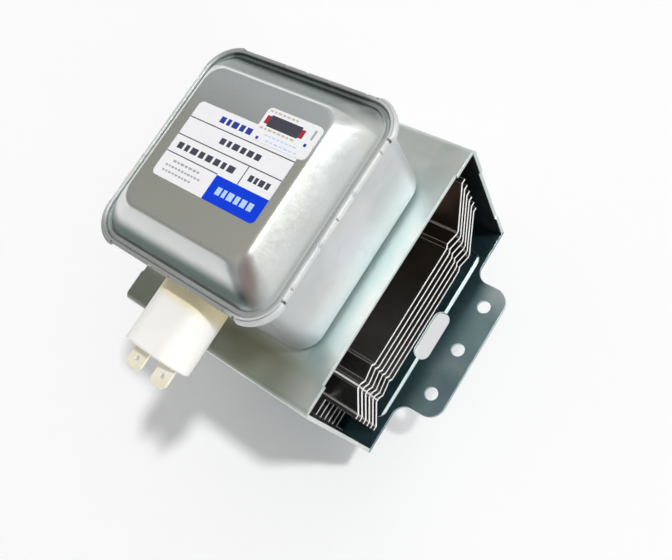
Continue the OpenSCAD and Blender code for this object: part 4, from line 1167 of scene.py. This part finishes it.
class MAGNETRON_OT_tube(Operator):
    """Finish the magnets, the tube and the chokes"""
    bl_idname = "magnetron.tube"
    bl_label = "Magnets, tube and chokes"

    def execute(self, context):
        dress(
            pressed_ferrite("ferrite", (0.060, 0.060, 0.064), (0.038, 0.038, 0.041)),
            "magnet_upper", "magnet_lower", "choke_core_left", "choke_core_right")
        dress(
            plain_metal("copper", (0.76, 0.42, 0.28), (0.55, 0.28, 0.17), 0.30, 0.2 * MM),
            "anode_cylinder", "anode_vanes", "strap_rings", "choke_coil_left", "choke_coil_right",
            "antenna_lead", "exhaust_tube")
        dress(
            plain_metal("soft iron", (0.48, 0.48, 0.49), (0.36, 0.36, 0.38), 0.42, 0.2 * MM),
            "pole_piece_upper", "pole_piece_lower")
        dress(
            plain_metal("dark metal", (0.26, 0.25, 0.25), (0.18, 0.18, 0.18), 0.45, 0.1 * MM),
            "filament", "end_hat_upper", "end_hat_lower", "centre_lead", "side_lead")
        dress(fired_ceramic("white ceramic", (0.84, 0.83, 0.80), (0.78, 0.76, 0.72)), "stem_ceramic")
        return {"FINISHED"}


def braid(low, high, bore, wire, turns, strands):
    """Wires wound both ways round the gasket's ring, over and under each other, as points and faces."""
    middle, wide = (high.x + bore) / 2, (high.x - bore) / 2
    centre, tall = (high.z + low.z) / 2, (high.z - low.z) / 2
    squareness, sink = 3.5, 0.1 * MM
    points, faces = [], []
    steps = turns * 16
    for way in (1, -1):
        for k in range(strands):
            path = []
            for j in range(steps):
                round_ring = 2 * math.pi * j / steps
                a = way * turns * round_ring + 2 * math.pi * k / strands
                lift = wire * (0.2 + way * 0.5 * math.cos(turns * strands * round_ring)) - sink
                cos, sin = math.cos(a), math.sin(a)
                grow = (abs(cos) ** squareness + abs(sin) ** squareness) ** (-1 / squareness)
                out = middle + (wide * grow + lift) * cos
                height = centre + (tall * grow + lift) * sin
                path.append(Vector((out * math.cos(round_ring), out * math.sin(round_ring), height)))
            base = len(points)
            for j, p in enumerate(path):
                ahead = (path[(j + 1) % steps] - path[j - 1]).normalized()
                side = ahead.cross(Vector((0.31, 0.17, 0.93))).normalized()
                over = ahead.cross(side)
                points += [p + wire / 2 * v for v in (side, over, -side, -over)]
            for j in range(steps):
                m = (j + 1) % steps
                for i in range(4):
                    n = (i + 1) % 4
                    faces.append((base + 4 * j + i, base + 4 * j + n, base + 4 * m + n, base + 4 * m + i))
    return points, faces


class MAGNETRON_OT_antenna(Operator):
    """Finish the antenna, its ceramic and the wire mesh gasket"""
    bl_idname = "magnetron.antenna"
    bl_label = "Antenna and gasket"

    def execute(self, context):
        dress(
            plain_metal("seal steel", (0.70, 0.69, 0.67), (0.56, 0.56, 0.55), 0.28, 0.2 * MM),
            "stem_seal", "output_seal", "antenna_cap", "gasket_ring")
        dress(fired_ceramic("pink ceramic", (0.80, 0.58, 0.55), (0.72, 0.49, 0.46)), "output_ceramic")
        core = plain_metal(
            "gasket core", (0.34, 0.31, 0.25), (0.22, 0.20, 0.16), 0.45, 0.1 * MM, scale=500.0)
        dress(core, "mesh_gasket")
        wires = plain_metal(
            "gasket wire", (0.70, 0.64, 0.52), (0.50, 0.45, 0.36), 0.34, 0.05 * MM, scale=500.0)
        points, faces = braid(GASKET_LOW, GASKET_HIGH, GASKET_BORE, GASKET_WIRE, turns=30, strands=8)
        piece("gasket_braid", points, faces, wires)
        return {"FINISHED"}


def floor_finish(s):
    """A pale floor with a painted light of its own white, which lifts the object's shadow toward the back
    right and fades toward the front left, so that the shadow stays there.
    """
    f = Finish("floor")
    f.set(
        Base_Color=s.floor_colour,
        Roughness=f.wire.noise(f.where, 900.0, 3.0).about(0.62, 0.1).held(),
        Specular_IOR_Level=0.1,
    )
    direct = f.wire.node("ShaderNodeLightPath", out="Is Camera Ray")
    mirrored = f.wire.node("ShaderNodeLightPath", out="Is Glossy Ray")
    seen = f.wire.math("MAXIMUM", direct, mirrored)
    away = f.wire.dot(f.where, (0.6, 0.8, 0.0)).step(-45.0 * MM, 15.0 * MM)
    f.glow(seen * (away * 0.95 + 0.05) * s.floor_painted_light)
    return f.material


def floor_mesh(s):
    """A round floor that bends up at its edge into a backdrop."""
    section = [(0.02 + (FLOOR_FLAT - 0.02) * (k / 10) ** 2, 0.0) for k in range(11)]
    section += turn((FLOOR_FLAT, FLOOR_BEND), FLOOR_BEND, 270.0, 342.0, 12)[1:]
    columns = 72
    angles = [2 * math.pi * j / columns for j in range(columns)]
    points = [(r * math.cos(a), r * math.sin(a), s.floor_drop + h) for r, h in section for a in angles]
    mesh = bpy.data.meshes.new("floor")
    mesh.from_pydata(points, [], ring_faces(len(section), columns) + [tuple(range(columns))])
    mesh.materials.append(floor_finish(s))
    return mesh


def studio(s):
    """A world that is brighter on the right than on the left, and white where the camera sees it."""
    world = bpy.data.worlds.new("studio")
    world.use_nodes = True
    tree = world.node_tree
    tree.nodes.clear()
    w = Wire(tree)
    ray = w.node("ShaderNodeTexCoord", out="Generated")
    up = w.part(ray, "Z").step(0.2, 0.9)
    walls = w.dot(ray, BRIGHT_WAY).step(-0.6, 0.8) * (s.bright_side - s.dark_side) + s.dark_side
    strength = walls * (1.0 - up) + up * s.zenith
    seen = w.node("ShaderNodeLightPath", out="Is Camera Ray")
    light = w.node("ShaderNodeBackground", None, {"Strength": strength * (1.0 - seen) + seen}, "Background")
    output = tree.nodes.new("ShaderNodeOutputWorld")
    tree.links.new(light.socket, output.inputs["Surface"])
    return world


class MAGNETRON_OT_stage(Operator):
    """Set the floor, the light and the camera"""
    bl_idname = "magnetron.stage"
    bl_label = "Stage"

    def execute(self, context):
        scene = context.scene
        s = scene.magnetron_stage
        scene.view_settings.view_transform = "Standard"
        floor = bpy.data.objects.new("floor", floor_mesh(s))
        scene.collection.objects.link(floor)
        scene.world = studio(s)

        lamp = bpy.data.lights.new("key", "SUN")
        lamp.energy = s.key
        lamp.angle = s.key_size
        key = bpy.data.objects.new("key", lamp)
        key.rotation_euler = KEY_WAY.to_track_quat("-Z", "Y").to_euler()
        scene.collection.objects.link(key)

        lens = bpy.data.cameras.new("view")
        lens.lens = s.lens
        lens.sensor_width = 36.0
        lens.clip_start = 10.0 * MM
        camera = bpy.data.objects.new("view", lens)
        turned = Matrix((CAMERA_RIGHT, -CAMERA_DOWN, -CAMERA_AHEAD)).transposed()
        camera.matrix_world = Matrix.Translation(CAMERA_PLACE) @ turned.to_4x4()
        scene.collection.objects.link(camera)
        scene.camera = camera
        return {"FINISHED"}


STEPS = (
    MAGNETRON_OT_sheet_metal,
    MAGNETRON_OT_cooling_fins,
    MAGNETRON_OT_lid,
    MAGNETRON_OT_rim,
    MAGNETRON_OT_label,
    MAGNETRON_OT_connector,
    MAGNETRON_OT_tube,
    MAGNETRON_OT_antenna,
    MAGNETRON_OT_stage,
)


class MAGNETRON_PT_steps(Panel):
    """The pieces of the magnetron, in the order in which they are made"""
    bl_idname = "MAGNETRON_PT_steps"
    bl_label = "Magnetron"
    bl_space_type = "VIEW_3D"
    bl_region_type = "UI"
    bl_category = "Magnetron"

    def draw(self, context):
        for step in STEPS:
            self.layout.operator(step.bl_idname)


GROUPS = {
    "magnetron_colours": MagnetronColours,
    "magnetron_lid": LidSizes,
    "magnetron_label": LabelSizes,
    "magnetron_stage": StageSizes,
}


def register():
    for group in GROUPS.values():
        bpy.utils.register_class(group)
    for key, group in GROUPS.items():
        setattr(bpy.types.Scene, key, PointerProperty(type=group))
    for step in STEPS:
        bpy.utils.register_class(step)
    bpy.utils.register_class(MAGNETRON_PT_steps)


def unregister():
    bpy.utils.unregister_class(MAGNETRON_PT_steps)
    for step in reversed(STEPS):
        bpy.utils.unregister_class(step)
    for key, group in reversed(list(GROUPS.items())):
        delattr(bpy.types.Scene, key)
        bpy.utils.unregister_class(group)


def main():
    register()
    bpy.ops.magnetron.sheet_metal()
    bpy.ops.magnetron.cooling_fins()
    bpy.ops.magnetron.lid()
    bpy.ops.magnetron.rim()
    bpy.ops.magnetron.label()
    bpy.ops.magnetron.connector()
    bpy.ops.magnetron.tube()
    bpy.ops.magnetron.antenna()
    bpy.ops.magnetron.stage()


if __name__ == "__main__":
    main()
